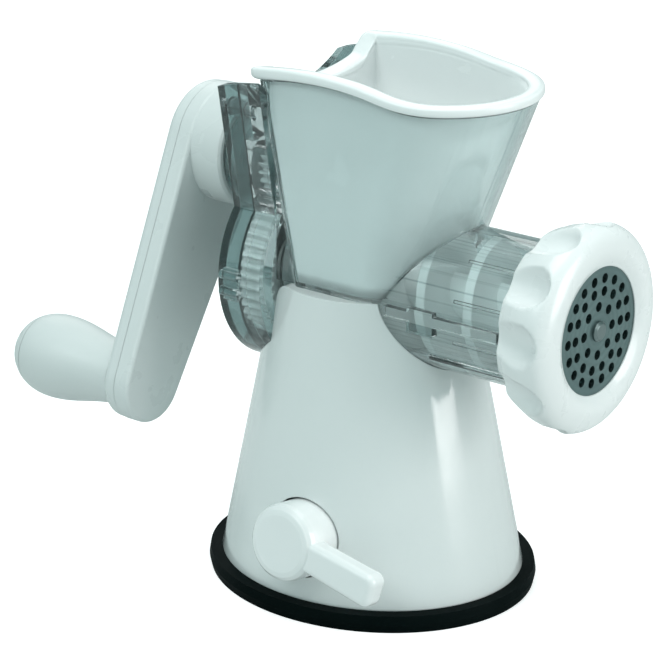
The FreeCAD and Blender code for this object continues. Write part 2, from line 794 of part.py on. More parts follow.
def rim_solid():
    """The rim: a band round the hopper's mouth that follows the arch at its sides and dips at its rear."""
    tall = num("rim_tall") / 2
    top = num("rim_peak_height") + 20
    low = num(HOPPER_SHOULDER) - 20
    crease = num("hopper_top_crease")
    inner_rear = num(RIM_INNER_REAR)
    up = Vector(0, 0, top - low)

    def ring(rear, grow, corner):
        outline = hopper_section(
            low, rear, crease, num("hopper_lip_front") + grow, num("hopper_top_half") + grow, corner)
        return face_prism(outline, up)

    outer = ring(num("rim_rear"), num("rim_wide - hopper_wall / 2"), num("rim_corner"))
    inner = ring(inner_rear, -num("hopper_wall / 2"), num("hopper_corner - hopper_wall / 2"))
    band = outer.cut(inner)
    rear_part = dip_slab(tall, -tall, -2 * num("rim_rear"), -inner_rear)
    behind = Part.makeBox(
        num("rim_rear"), 4 * num("case_top_half"), top - low,
        Vector(-inner_rear - num("rim_rear"), -2 * num("case_top_half"), low))
    sides = band.common(arch_slab(tall, -tall)).cut(behind)
    return [sides, band.common(rear_part)]


def rim_space(drop):
    """All the room above the rim's middle line lowered by a drop."""
    rear = -num(CASE_REAR) - 1
    inner_rear = -num("hopper_top_rear - hopper_wall - hopper_corner")
    return [arch_slab(drop, -90), dip_slab(drop, -90, rear, inner_rear)]


def hopper_body(grow, front_grow, bottom, top):
    """The hopper's outside between two heights, grown by a gap; the front may stand further off."""
    low = num(HOPPER_BOTTOM)
    shoulder = num(HOPPER_SHOULDER)
    corner = num("hopper_corner")

    def between(height, name):
        share = (height - low) / (shoulder - low)
        start = num("hopper_bottom_" + name)
        return start + (num("hopper_top_" + name) - start) * share

    def section(height):
        share = (height - low) / (shoulder - low)
        return hopper_section(
            height, between(height, "rear") + grow, between(height, "crease"),
            between(height, "front") + grow + front_grow * share, between(height, "half") + grow, corner + grow)

    return solid_loft([section(bottom), section(top)])


def hopper_lip(grow, shoulder, top):
    """The upper end of the hopper: the front flares out, then stands upright inside the rim."""
    corner = num("hopper_corner")
    half = num("hopper_top_half") + grow
    rear = num("hopper_top_rear") + grow
    crease = num("hopper_top_crease")
    level = num("rim_peak_height - rim_front_drop")

    def section(height, front):
        return hopper_section(height, rear, crease, front + grow, half, corner + grow)

    lip = num("hopper_lip_front")
    flare = solid_loft([section(shoulder, num("hopper_top_front")), section(level, lip)])
    return flare.fuse(face_prism(section(level, lip), Vector(0, 0, top - level)))


# Housing: barrel, hopper skin and the front half of the gear case in one clear moulding.

def gear_room(start, stop):
    """Room for the drive gear and the pinion, between two places along X."""
    drive = num("gear_module * (drive_teeth / 2 + 1) + gear_gap")
    pinion = num("gear_module * (pinion_teeth / 2 + 1) + gear_gap")
    lower = x_rod(drive, start, stop, 0, num("barrel_height"))
    upper = x_rod(pinion, start, stop, 0, num(CRANK_HEIGHT))
    return lower.fuse(upper)


def thread_ridge(root, crest, start_x, turns):
    """One turned ridge of the ring nut's thread; the root is buried by a little."""
    bury = 0.4 if crest > root else -0.4
    wide = num("thread_width") / 2
    profile = [
        (-wide, root - bury),
        (wide, root - bury),
        (wide * 0.6, crest),
        (-wide * 0.6, crest),
    ]
    return helix_ridge(profile, num("thread_pitch"), turns, start_x, num("barrel_height"))


THREAD_TURNS = 2.25
POCKET_DEPTH = 4


def make_housing():
    axis = num("barrel_height")
    front = -num("case_front")
    split = front - num("case_split")
    barrel = x_rod(num("barrel_radius"), front - 1, num("barrel_end"), 0, axis)
    slab = case_slab(split, front, 0)
    skin_bottom = num("base_top + seat_gap")
    top = num("rim_peak_height")
    grow = num("seat_gap + skin_wall")
    skin = hopper_body(grow, num("skin_front_gap"), skin_bottom, top)
    rear_fill = Part.makeBox(
        num("case_front - hopper_bottom_rear + 4"), 2 * num("hopper_bottom_half"), top - skin_bottom,
        Vector(front - 1, -num("hopper_bottom_half"), skin_bottom))
    outer = barrel.multiFuse([slab, skin, rear_fill])
    rails = []
    beside = num("barrel_radius") - 0.8
    rail_start = math.sqrt(num("base_top_radius + rail_tall / 2") ** 2 - beside ** 2) + num("seat_gap")
    rail_stop = num(DISC_FRONT) - num("nut_long") - 2
    for side in (-1, 1):
        mid = side * (num("barrel_radius") + num("rail_wide") / 2 - 0.8)
        rails.append(Part.makeBox(
            rail_stop - rail_start, num("rail_wide"), num("rail_tall"),
            Vector(rail_start, mid - num("rail_wide") / 2, axis - num("rail_tall") / 2)))
        rails.append(Part.makeBox(
            12, num("rail_wide"), 2.4 * num("rail_tall"),
            Vector(rail_start + 11, mid - num("rail_wide") / 2, axis - 1.5 * num("rail_tall"))))
        rails.append(x_rod(
            1.5, num("base_top_radius") + 7.6, rail_stop,
            side * num("barrel_radius") * 0.8, axis - num("barrel_radius") * 0.6))
    ridge = thread_ridge(
        num("barrel_radius"), num("barrel_radius + thread_height"),
        num("barrel_end - thread_pitch * %s" % (THREAD_TURNS + 0.35)), THREAD_TURNS)
    outer = outer.multiFuse(rails)
    gear_front = -num(CHAMBER_FRONT)
    rooms = [
        hopper_body(num("seat_gap"), num("skin_front_gap"), num(HOPPER_BOTTOM), top + 1),
        x_rod(num("bore_radius"), front, num(DISC_REAR) + 1, 0, axis),
        x_rod(num("disc_radius + running_gap * 2"), num(DISC_REAR), num("barrel_end") + 1, 0, axis),
        gear_room(split - 1, gear_front),
        x_rod(num("drive_radius + 2.6"), gear_front - 1, front + 1, 0, axis),
        x_rod(num("shaft_radius + running_gap"), gear_front - 1, gear_front + 1.6, 0, num(CRANK_HEIGHT)),
    ]
    rooms += rim_space(num("rim_tall / 2 + seat_gap"))
    groove_length = num(DISC_REAR) - num("hopper_top_front")
    for y, z in ringed(int(num("groove_count")), num("bore_radius") + 0.1, math.radians(18)):
        rooms.append(x_rod(0.7, num("hopper_top_front"), num("hopper_top_front") + groove_length, y, axis + z))
    upper_pocket = case_slab(split - 1, split + POCKET_DEPTH, num("case_wall"))
    shelf = num(CRANK_HEIGHT) + num("gear_module * (pinion_teeth / 2 + 1) + gear_gap + case_wall")
    above = Part.makeBox(
        POCKET_DEPTH + 2, 4 * num("case_radius"), num(CASE_TOP),
        Vector(split - 2, -2 * num("case_radius"), shelf))
    rooms.append(upper_pocket.common(above))
    solid = outer.cut(rooms)
    bosses = [x_rod(CASE_BOSS, split, split + 6, y, z) for y, z in case_screw_points()]
    solid = solid.multiFuse(bosses)
    pilots = [x_rod(num(SCREW_RADIUS), split - 1, split + 5, y, z) for y, z in case_screw_points()]
    for place_x in HOUSING_SCREW_X:
        pilots.append(Part.makeCylinder(
            num(SCREW_RADIUS), 4.4, Vector(num(place_x), 0, axis - num("barrel_radius") - 2), Vector(0, 0, 1)))
    key = plate_key_shape()
    solid = solid.cut(pilots + [key])
    return keep(feature("grinder_housing", solid.removeSplitter().fuse(ridge)), "grinder_housing")


def plate_key_shape():
    """A short steel pin across the plate's edge, which stops the plate from turning."""
    radius = 1.6
    return x_rod(radius, num(DISC_REAR) + 0.6, num("barrel_end"), 0,
                 num("barrel_height") + num("disc_radius"))


def make_plate_key():
    return keep(feature("plate_key", plate_key_shape()), "plate_key")


# Gear cover: the rear half of the gear case, with a collar for the crank's bush.

def make_gear_cover():
    rear = -num(CASE_REAR)
    split = -num("case_front") - num("case_split")
    inside = -num(COVER_INSIDE)
    crank_z = num(CRANK_HEIGHT)
    axis = num("barrel_height")
    collar_rear = -num(COLLAR_REAR)
    shell = case_slab(rear, split, 0).cut(case_slab(inside, split + 1, num("case_wall")))
    collar = x_rod(num("collar_radius"), collar_rear, rear + 1, 0, crank_z)
    collar = collar.cut(x_rod(num("collar_radius - case_wall"), collar_rear - 1, rear, 0, crank_z))
    sleeve = x_rod(num("bush_radius + case_wall"), collar_rear, inside + 1, 0, crank_z)
    seat = x_rod(num("drive_radius + case_wall"), inside - 1, inside + 0.8, 0, axis)
    bosses = [x_rod(CASE_BOSS, inside - 1, split, y, z) for y, z in case_screw_points()]
    solid = shell.multiFuse([collar, sleeve, seat] + bosses)
    holes = rim_space(num("rim_tall / 2 + seat_gap"))
    holes += [
        x_rod(num("bush_radius"), collar_rear - 1, inside + 3, 0, crank_z),
        x_rod(num("shaft_radius + running_gap"), inside - 1.8, inside + 3, 0, axis),
    ]
    for y, z in case_screw_points():
        holes.append(x_rod(num(SCREW_RADIUS), rear - 1, split + 1, y, z))
        holes.append(x_rod(num(SCREW_HEAD), rear - 1, rear + 1.2, y, z))
    return keep(feature("gear_cover", solid.cut(holes).removeSplitter()), "gear_cover")


def make_cover_screws():
    rear = "-" + CASE_REAR
    places = []
    for y, z in case_screw_points():
        places.append(((rear + " - 0.4", "%.6f" % y, "%.6f" % z), "x", 1))
    return make_screws("cover_screws", SCREW_HEAD, places, "1.6", "case_depth - case_split + 3")


def make_cover_clips():
    """A snap clip on each side of the case, with two round knuckles across the seam."""
    split = -num("case_front") - num("case_split")
    clips = []
    for side in (-1, 1):
        y = side * (num("case_radius") + 0.9)
        plate = Part.makeBox(7, 1.6, 13, Vector(split - 6, y - 0.8, num("barrel_height") - 7))
        knuckles = [
            x_rod(1.9, split - 7, split + 2, y + side * 0.6, num("barrel_height") + dz) for dz in (-3.6, 3.2)]
        clips.append(plate.multiFuse(knuckles))
    trimmed = [clip.cut(case_slab(split - 12, split + 8, 0)) for clip in clips]
    return keep(feature("cover_clips", Part.makeCompound(trimmed)), "cover_clips")


# Hopper insert: a white funnel that drops into the clear skin, with a rolled rim.

def make_hopper_insert():
    bottom = num(HOPPER_BOTTOM)
    shoulder = num(HOPPER_SHOULDER)
    top = num("rim_peak_height") - 0.3 * num("rim_tall")
    wall = num("hopper_wall")
    outside = hopper_body(0, 0, bottom, shoulder).fuse(hopper_lip(0, shoulder, top))
    corner = num("hopper_corner")
    throat = hopper_section(
        bottom - 1, num("hopper_bottom_rear") - wall, num("hopper_bottom_crease"),
        num("hopper_bottom_front") - wall, num("throat_half"), corner - wall)
    mouth = hopper_section(
        shoulder, num("hopper_top_rear") - wall, num("hopper_top_crease"), num("hopper_top_front") - wall,
        num("hopper_top_half") - wall, corner - wall)
    inside = solid_loft([throat, mouth]).fuse(hopper_lip(-wall, shoulder, top + 1))
    sweep = x_rod(num("bore_radius"), -num("case_front"), num("barrel_end"), 0, num("barrel_height"))
    walls = outside.cut([inside, sweep] + rim_space(0))
    solid = walls.multiFuse(rim_solid())
    return keep(feature("hopper_insert", solid.removeSplitter()), "hopper_insert")


# Gears: involute teeth with a little play.

def gear_profile(teeth, turn):
    """One gear's outline about the X axis at the origin, with a tooth centred at the given turn from +Y."""
    module = num("gear_module")
    pitch = module * teeth / 2
    base = pitch * math.cos(math.radians(20))
    tip = pitch + module
    root = pitch - 1.25 * module
    start = max(base, root)
    half_pitch = (math.pi * module / 2 - num("tooth_play") / 2) / (2 * pitch)

    def involute(radius):
        angle = math.acos(min(1.0, base / radius))
        return math.tan(angle) - angle

    shift = half_pitch + involute(pitch)
    radii = [start + (tip - start) * i / 4 for i in range(5)]

    def spot(radius, angle):
        return Vector(0, radius * math.cos(angle), radius * math.sin(angle))

    edges = []
    step = 2 * math.pi / teeth
    for index in range(teeth):
        middle = turn + step * index
        rising = [spot(r, middle - shift + involute(r)) for r in radii]
        falling = [spot(r, middle + shift - involute(r)) for r in reversed(radii)]
        for flank in (rising, falling):
            curve = Part.BSplineCurve()
            curve.interpolate(Points=flank)
            edges.append(curve.toShape())
        edges.append(Part.Arc(rising[-1], spot(tip, middle), falling[0]).toShape())
        last_root = spot(root, middle + shift - involute(start))
        next_root = spot(root, middle + step - shift + involute(start))
        next_foot = spot(start, middle + step - shift + involute(start))
        if start > root + 0.01:
            edges.append(Part.LineSegment(falling[-1], last_root).toShape())
            edges.append(Part.LineSegment(next_root, next_foot).toShape())
        edges.append(Part.Arc(last_root, spot(root, middle + step / 2), next_root).toShape())
    return Part.Wire(Part.sortEdges(edges)[0])


def make_drive_gear():
    teeth = int(num("drive_teeth"))
    start = -num(GEAR_REAR)
    blank = face_prism(gear_profile(teeth, math.pi / 2), Vector(num("gear_face"), 0, 0))
    hub = x_rod(num("drive_radius + 4.5"), -1.4, num("gear_face"))
    rim_inner = num("gear_module * (drive_teeth / 2 - 1.25)") - 4
    web = num("gear_face") / 2
    dish = x_rod(rim_inner, web + 2, num("gear_face") + 1).cut(x_rod(num("drive_radius + 4.5"), 0, 30))
    dish_rear = x_rod(rim_inner, -1, web - 2).cut(x_rod(num("drive_radius + 4.5"), -5, 30))
    lightening = [x_rod(5.0, -1, 30, y, z) for y, z in ringed(6, (rim_inner + num("drive_radius + 4.5")) / 2)]
    solid = blank.fuse(hub).cut([dish, dish_rear, x_rod(num("drive_radius"), -5, 30)] + lightening)
    item = feature("drive_gear", solid.removeSplitter())
    item.Placement = Placement(Vector(start, 0, num("barrel_height")), Rotation())
    return keep(item, "drive_gear")


def make_crank_pinion():
    teeth = int(num("pinion_teeth"))
    half_step = math.pi / teeth
    blank = face_prism(gear_profile(teeth, -math.pi / 2 + half_step), Vector(num("gear_face"), 0, 0))
    solid = blank.cut(x_rod(num("shaft_radius"), -5, 30))
    item = feature("crank_pinion", solid.removeSplitter())
    item.Placement = Placement(Vector(-num(GEAR_REAR), 0, num(CRANK_HEIGHT)), Rotation())
    return keep(item, "crank_pinion")


# Crank shaft and bush, drive shaft, bush, seal and washer: turned pieces.

def make_turned_pieces():
    crank_at = ("0", "0", CRANK_HEIGHT)
    auger_at = ("0", "0", "barrel_height")
    shaft_end = "-%s + 1.4" % CHAMBER_FRONT
    keep(turned("crank_shaft", [
        ("-%s - arm_thick / 2" % ARM_FRONT, "0"),
        ("-%s - arm_thick / 2" % ARM_FRONT, "shaft_radius"),
        (shaft_end + " - 1", "shaft_radius"),
        (shaft_end, "shaft_radius - 1"),
        (shaft_end, "0"),
    ], crank_at), "crank_shaft")
    keep(turned("crank_bush", tube_outline(
        "-" + COLLAR_REAR, "-%s + 2" % COVER_INSIDE, "shaft_radius + running_gap", "bush_radius"),
        crank_at), "crank_bush")
    keep(turned("auger_bush", [
        ("-%s - 1" % CHAMBER_FRONT, "drive_radius + running_gap"),
        ("-case_front", "drive_radius + running_gap"),
        ("-case_front", "drive_radius + 2.6"),
        ("-" + CHAMBER_FRONT, "drive_radius + 2.6"),
        ("-" + CHAMBER_FRONT, "drive_radius + 4.4"),
        ("-%s - 1" % CHAMBER_FRONT, "drive_radius + 4.4"),
    ], auger_at), "auger_bush")
    keep(turned("shaft_seal", tube_outline(
        "-case_front", "washer_thick - case_front - 0.1", "drive_radius + running_gap", "auger_core + 4"),
        auger_at), "shaft_seal")
    keep(turned("thrust_washer", tube_outline(
        "-%s + seat_gap / 3" % GEAR_FRONT, "-%s - 1.1" % CHAMBER_FRONT, "drive_radius", "drive_radius + 6"),
        auger_at), "thrust_washer")
    keep(turned("knob_washer", tube_outline(
        "-%s - 0.9" % ARM_REAR, "-%s - 0.1" % ARM_REAR, "spindle_radius + running_gap", "spindle_radius + 4"),
        ("0", KNOB_Y, KNOB_Z)), "knob_washer")


def make_drive_shaft():
    round_part = turned("drive_round", [
        ("-%s - 1.6" % COVER_INSIDE, "0"),
        ("-%s - 1.6" % COVER_INSIDE, "shaft_radius"),
        ("-%s - 1.4 - seat_gap" % GEAR_REAR, "shaft_radius"),
        ("-%s - 1.4 - seat_gap" % GEAR_REAR, "drive_radius"),
        (AUGER_REAR, "drive_radius"),
        (AUGER_REAR, "0"),
    ], ("0", "0", "barrel_height"))
    square = block("drive_square_end", "drive_reach + 1", "drive_square", "drive_square",
                   (AUGER_REAR + " - 1", "-drive_square / 2", "barrel_height - drive_square / 2"))
    return keep(fused("drive_shaft", [round_part, square]), "drive_shaft")


# Auger: a core with one flight, a square socket behind, a square nose for the knife.

def make_auger():
    axis = num("barrel_height")
    start = num(AUGER_REAR)
    stop = num(KNIFE_REAR)
    radius = num("bore_radius - auger_gap")
    core_radius = num("auger_core")
    core = x_rod(core_radius, start, stop - 0.5, 0, axis)
    collar = x_rod(core_radius + 4, start, start + 5, 0, axis)
    thick = num("flight_thick") / 2
    pitch = num("auger_pitch")
    turns = (stop - start - 2 * thick - 4) / pitch
    profile = [
        (-thick * 1.5, core_radius - 2),
        (thick * 1.5, core_radius - 2),
        (thick, radius),
        (-thick, radius),
    ]
    flight = helix_ridge(profile, pitch, turns, start + thick + 2, axis)
    nose_half = num("knife_square") / 2
    nose = Part.makeBox(
        num("knife_thick") + 1, 2 * nose_half, 2 * nose_half, Vector(stop - 1, -nose_half, axis - nose_half))
    square = num("drive_square") / 2 + 0.1
    socket = Part.makeBox(
        num("drive_reach") + 0.5, 2 * square, 2 * square, Vector(start - 0.1, -square, axis - square))
    pin_hole = x_rod(num("pin_radius") - 1, stop - 20, stop + 20, 0, axis)
    solid = core.multiFuse([collar, flight, nose]).cut([socket, pin_hole])
    return keep(feature("auger", solid), "auger")


def make_auger_pin():
    stop = KNIFE_REAR
    return keep(turned("auger_pin", [
        (stop + " - 18", "0"),
        (stop + " - 18", "pin_radius - 1"),
        (stop + " + knife_thick + 0.05", "pin_radius - 1"),
        (stop + " + knife_thick + 0.05", "pin_radius"),
        (DISC_FRONT + " + 0.8", "pin_radius"),
        (DISC_FRONT + " + 1.6", "pin_radius - 1"),
        (DISC_FRONT + " + 1.6", "0"),
    ], ("0", "0", "barrel_height")), "auger_pin")


def make_knife():
    blades = []
    hub = rod("knife_hub", "knife_square", "knife_thick", (KNIFE_REAR, "0", "barrel_height"))
    for i in range(2):
        long, tall = (("2 * knife_reach", "7"), ("7", "2 * knife_reach"))[i]
        blades.append(block("knife_blade_%d" % i, "knife_thick - 0.4", long, tall,
                            (KNIFE_REAR + " + 0.4", "-(%s) / 2" % long, "barrel_height - (%s) / 2" % tall)))
    square = block("knife_hole", "2 * knife_thick", "knife_square + 0.2", "knife_square + 0.2",
                   (KNIFE_REAR + " - 1", "-knife_square / 2 - 0.1", "barrel_height - knife_square / 2 - 0.1"))
    return keep(cut("knife", fused("knife_cross", [hub] + blades), [square]), "knife")


# Cutting plate: a steel disc with three rings of holes.

PLATE_RINGS = [(8, 9.6, 0.0), (14, 15.4, 0.1), (18, 20.4, 0.0)]


def make_cutting_plate():
    disc = rod("disc_blank", "disc_radius", "disc_thick", (DISC_REAR, "0", "barrel_height"))
    tools = [rod("disc_centre", "pin_radius + running_gap", "2 * disc_thick",
                 (DISC_REAR + " - 1", "0", "barrel_height"))]
    for count, radius, start in PLATE_RINGS:
        share = "%.6f * disc_radius" % (radius / SIZES["disc_radius"])
        for i in range(count):
            turn = start + 360.0 * i / count
            tools.append(rod("disc_hole_%d_%d" % (count, i), "disc_hole", "2 * disc_thick", (
                DISC_REAR + " - 1",
                "%s * cos(%.6f)" % (share, turn),
                "barrel_height + %s * sin(%.6f)" % (share, turn))))
    notch = rod("disc_notch", "1.6 + 0.25", "2 * disc_thick",
                (DISC_REAR + " - 1", "0", "barrel_height + disc_radius"))
    return keep(cut("cutting_plate", disc, tools + [notch]), "cutting_plate")


# Ring nut: a rounded ring with soft scallops, a lip that holds the plate and a thread inside.

def make_ring_nut():
    rear = "(%s - nut_long)" % DISC_FRONT
    bore = "barrel_radius + thread_height + thread_gap"
    face = "(%s + nut_lip)" % DISC_FRONT
    blank = turned("nut_blank", [
        (rear, bore),
        (DISC_FRONT + " + 0.05", bore),
        (DISC_FRONT + " + 0.05", "nut_opening"),
        (DISC_FRONT + " + 0.6", "nut_opening"),
        (face + " - 0.5", "nut_opening + 3"),
        (face, "nut_opening + 5.5"),
        (face, "nut_radius - 7.5"),
        (face + " - 1", "nut_radius - 4.2"),
        (face + " - 3", "nut_radius - 1.7"),
        (face + " - 6", "nut_radius - 0.2"),
        (face + " - 9", "nut_radius"),
        (face + " - 13", "nut_radius - 1"),
        (rear + " + 2", "nut_back_radius + 0.6"),
        (rear, "nut_back_radius - 0.6"),
    ], ("0", "0", "barrel_height"))
    notches = []
    stand = "(nut_back_radius + scallop_radius - scallop_depth)"
    for i in range(int(num("scallop_count"))):
        turn = "(%d * 360 / scallop_count + 12)" % i
        across = "%s * cos(%s)" % (stand, turn)
        up = "barrel_height + %s * sin(%s)" % (stand, turn)
        ball = doc.addObject("Part::Sphere", "notch_end_%d" % i)
        bind(ball, Radius="scallop_radius")
        place(ball, (rear + " + notch_long", across, up))
        notches.append(ball)
        notches.append(rod("notch_%d" % i, "scallop_radius", "notch_long + 5", (rear + " - 5", across, up)))
    gripped = cut("nut_gripped", blank, notches)
    ridge = feature("nut_ridge", thread_ridge(
        num(bore), num("barrel_radius + thread_gap"),
        num("barrel_end - thread_pitch * %s" % (THREAD_TURNS + 0.35 - 0.5)), THREAD_TURNS - 0.5))
    whole = fused("ring_nut", [gripped, ridge])
    whole.Refine = False
    return keep(whole, "ring_nut")


# Crank: two half shells joined on a seam, with a round hub; the bulb knob turns on a spindle.

def arm_body(name, start, thick, radius_cut):
    """The arm's outline drawn square to the crank's axis and thickened along -X."""
    body = doc.addObject("PartDesign::Body", name)
    sketch = new_sketch(body, name + "_outline", "YZ_Plane")
    top = num("crank_hub_radius") - radius_cut
    low = num("arm_end_radius") - radius_cut
    throw = num("crank_throw")
    lean = math.asin((top - low) / throw)
    cos_lean = math.cos(lean)
    sin_lean = math.sin(lean)
    right_top = Vector(top * cos_lean, -top * sin_lean, 0)
    right_low = Vector(low * cos_lean, -throw - low * sin_lean, 0)
    left_top = Vector(-right_top.x, right_top.y, 0)
    left_low = Vector(-right_low.x, right_low.y, 0)
    sketch.addGeometry([
        Part.Arc(right_top, Vector(0, top, 0), left_top),
        Part.LineSegment(left_top, left_low),
        Part.Arc(left_low, Vector(0, -throw - low, 0), right_low),
        Part.LineSegment(right_low, right_top),
    ], False)
    sketch.addConstraint([
        Sketcher.Constraint("Tangent", 0, 2, 1, 1),
        Sketcher.Constraint("Tangent", 1, 2, 2, 1),
        Sketcher.Constraint("Tangent", 2, 2, 3, 1),
        Sketcher.Constraint("Tangent", 3, 2, 0, 1),
        Sketcher.Constraint("Coincident", 0, 3, -1, 1),
        Sketcher.Constraint("PointOnObject", 2, 3, -2),
    ])
    for kind, where, expression in (
            ("Radius", (0,), "crank_hub_radius - %s" % radius_cut),
            ("Radius", (2,), "arm_end_radius - %s" % radius_cut),
            ("DistanceY", (2, 3, -1, 1), "crank_throw")):
        number = sketch.addConstraint(Sketcher.Constraint(kind, *where, num(expression)))
        sketch.setExpression("Constraints[%d]" % number, ref(expression))
    pad = body.newObject("PartDesign::Pad", name + "_pad")
    pad.Profile = sketch
    pad.Reversed = True
    bind(pad, Length=thick)
    place(body, ("-(%s)" % start, "0", CRANK_HEIGHT), Rotation(Vector(1, 0, 0), -num("crank_lean")))
    body.setExpression("Placement.Rotation.Angle", ref("-crank_lean"))
    return body, pad


def round_outline(body, pad, radius, at_low_x):
    """Round the arm's outline on its outer or inner face."""
    doc.recompute()
    box = pad.Shape.BoundBox
    target = box.XMin if at_low_x else box.XMax
    return soften(body, pad, radius,
                  lambda edge: abs(edge.BoundBox.XMin - target) < 1e-4 and edge.BoundBox.XLength < 1e-4)


SEAM = "0.15"


def make_crank_arm():
    inner, pad = arm_body("arm_inner_body", ARM_FRONT, "arm_thick / 2 - " + SEAM, 0)
    inner.Tip = round_outline(inner, pad, "arm_soft * 0.4", False)
    hub = turned("crank_hub", [
        ("-%s - 1" % ARM_FRONT, "shaft_radius + 5"),
        ("-%s - 1" % ARM_FRONT, "crank_hub_radius - 0.4"),
        ("-%s - 1" % HUB_FRONT, "crank_hub_radius - 0.4"),
        ("-" + HUB_FRONT, "crank_hub_radius - 1.4"),
        ("-" + HUB_FRONT, "crank_hub_radius - 3"),
        ("-%s + 2" % ARM_FRONT, "crank_hub_radius - 3"),
        ("-%s + 2" % ARM_FRONT, "shaft_radius + 5"),
    ], ("0", "0", CRANK_HEIGHT))
    boss = rod("crank_boss", "shaft_radius + 5.2", "crank_hub_long + 1",
               ("-%s - 1" % ARM_FRONT, "0", CRANK_HEIGHT))
    hole = rod("crank_socket", "shaft_radius", "2 * crank_hub_long",
               ("-%s - arm_thick" % ARM_FRONT, "0", CRANK_HEIGHT))
    spindle_hole = rod("spindle_hole_inner", "spindle_radius", "arm_thick - 3",
                       ("-" + ARM_REAR, KNOB_Y, KNOB_Z))
    screws = arm_screw_holes("inner")
    keep(cut("crank_arm_inner", fused("arm_inner_whole", [inner, hub, boss]), [hole, spindle_hole] + screws),
         "crank_arm_inner")
    outer, outer_pad = arm_body("arm_outer_body", ARM_FRONT + " + arm_thick / 2 + " + SEAM,
                                "arm_thick / 2 - " + SEAM, 0.25)
    outer.Tip = round_outline(outer, outer_pad, "arm_soft", True)
    cap_seat = rod("cap_seat", "shaft_radius + 3.05", "3.2", ("-" + ARM_REAR, "0", CRANK_HEIGHT))
    screw_hole = rod("crank_screw_hole", SCREW_RADIUS + " + 0.2", "arm_thick",
                     ("-" + ARM_REAR, "0", CRANK_HEIGHT))
    outer_spindle = rod("spindle_hole_outer", "spindle_radius", "arm_thick", ("-" + ARM_REAR, KNOB_Y, KNOB_Z))
    keep(cut("crank_arm_outer", outer, [cap_seat, screw_hole, outer_spindle] + arm_screw_holes("outer")),
         "crank_arm_outer")


ARM_SCREW_SHARES = [0.36, 0.68]


def arm_screw_place(share):
    return (
        "%s * %s" % (share, KNOB_Y),
        "%s - %s * crank_throw * cos(crank_lean)" % (CRANK_HEIGHT, share),
    )


def arm_screw_holes(name):
    """Screw holes from the arm's outer face into blind pilots in its inner half."""
    holes = []
    for i, share in enumerate(ARM_SCREW_SHARES):
        y, z = arm_screw_place(share)
        holes.append(rod("arm_hole_%s_%d" % (name, i), SCREW_RADIUS, "arm_thick - 3", ("-%s" % ARM_REAR, y, z)))
        if name == "outer":
            holes.append(rod("arm_sink_%d" % i, SCREW_HEAD, "3", ("-%s - 1" % ARM_REAR, y, z)))
    return holes


def make_arm_screws():
    places = [(("-%s + 0.4" % ARM_REAR,) + arm_screw_place(share), "x", 1) for share in ARM_SCREW_SHARES]
    return make_screws("arm_screws", SCREW_HEAD, places, "1.6", "arm_thick - 6")


def make_crank_screw():
    head = rod("crank_screw_head", "4.5", "1.8", ("-%s + 1.4" % ARM_REAR, "0", CRANK_HEIGHT))
    shank = rod("crank_screw_shank", SCREW_RADIUS, "arm_thick / 2 - 3.3",
                ("-%s + 3.2" % ARM_REAR, "0", CRANK_HEIGHT))
    return keep(fused("crank_screw", [head, shank]), "crank_screw")


def make_crank_cap():
    return keep(turned("crank_cap", [
        ("-%s - 0.6" % ARM_REAR, "0"),
        ("-%s - 0.6" % ARM_REAR, "shaft_radius + 1"),
        ("-" + ARM_REAR, "shaft_radius + 2.2"),
        ("-" + ARM_REAR, "shaft_radius + 3"),
        ("-%s + 1.3" % ARM_REAR, "shaft_radius + 3"),
        ("-%s + 1.3" % ARM_REAR, "0"),
    ], ("0", "0", CRANK_HEIGHT)), "crank_cap")


KNOB_SEAM = "(knob_long * 0.80)"


def knob_curve(share):
    """The bulb's radius at a share of its length: a slim neck, a full middle and a round end."""
    neck = num("knob_neck")
    full = num("knob_radius")
    widest = 0.62
    if share < widest:
        swell = 0.5 - 0.5 * math.cos(math.pi * share / widest)
        return neck + (full - neck) * swell
    return full * math.sqrt(max(0.0, 1 - ((share - widest) / (1 - widest)) ** 2.2))


def knob_points(first, last, steps):
    return [first + (last - first) * i / steps for i in range(steps + 1)]


def knob_turned(first, last, steps, cut_from, cut_to, bore):
    """A turned length of the bulb, between two shares, bored out between two places."""
    long = num("knob_long")
    rear = -num(ARM_REAR) - 1.0
    outline = [Vector(rear - long * share, knob_curve(share), 0) for share in knob_points(first, last, steps)]
    curve = Part.BSplineCurve()
    curve.interpolate(Points=outline)
    start = Vector(outline[0].x, 0, 0)
    stop = Vector(outline[-1].x, 0, 0)
    edges = [
        curve.toShape(),
        Part.LineSegment(start, outline[0]).toShape(),
        Part.LineSegment(stop, start).toShape(),
    ]
    if outline[-1].y > 1e-6:
        edges.append(Part.LineSegment(outline[-1], stop).toShape())
    face = Part.Face(Part.Wire(Part.sortEdges(edges)[0]))
    solid = face.revolve(Vector(), Vector(1, 0, 0), 360)
    if bore > 0:
        solid = solid.cut(x_rod(bore, cut_from, cut_to))
    return solid


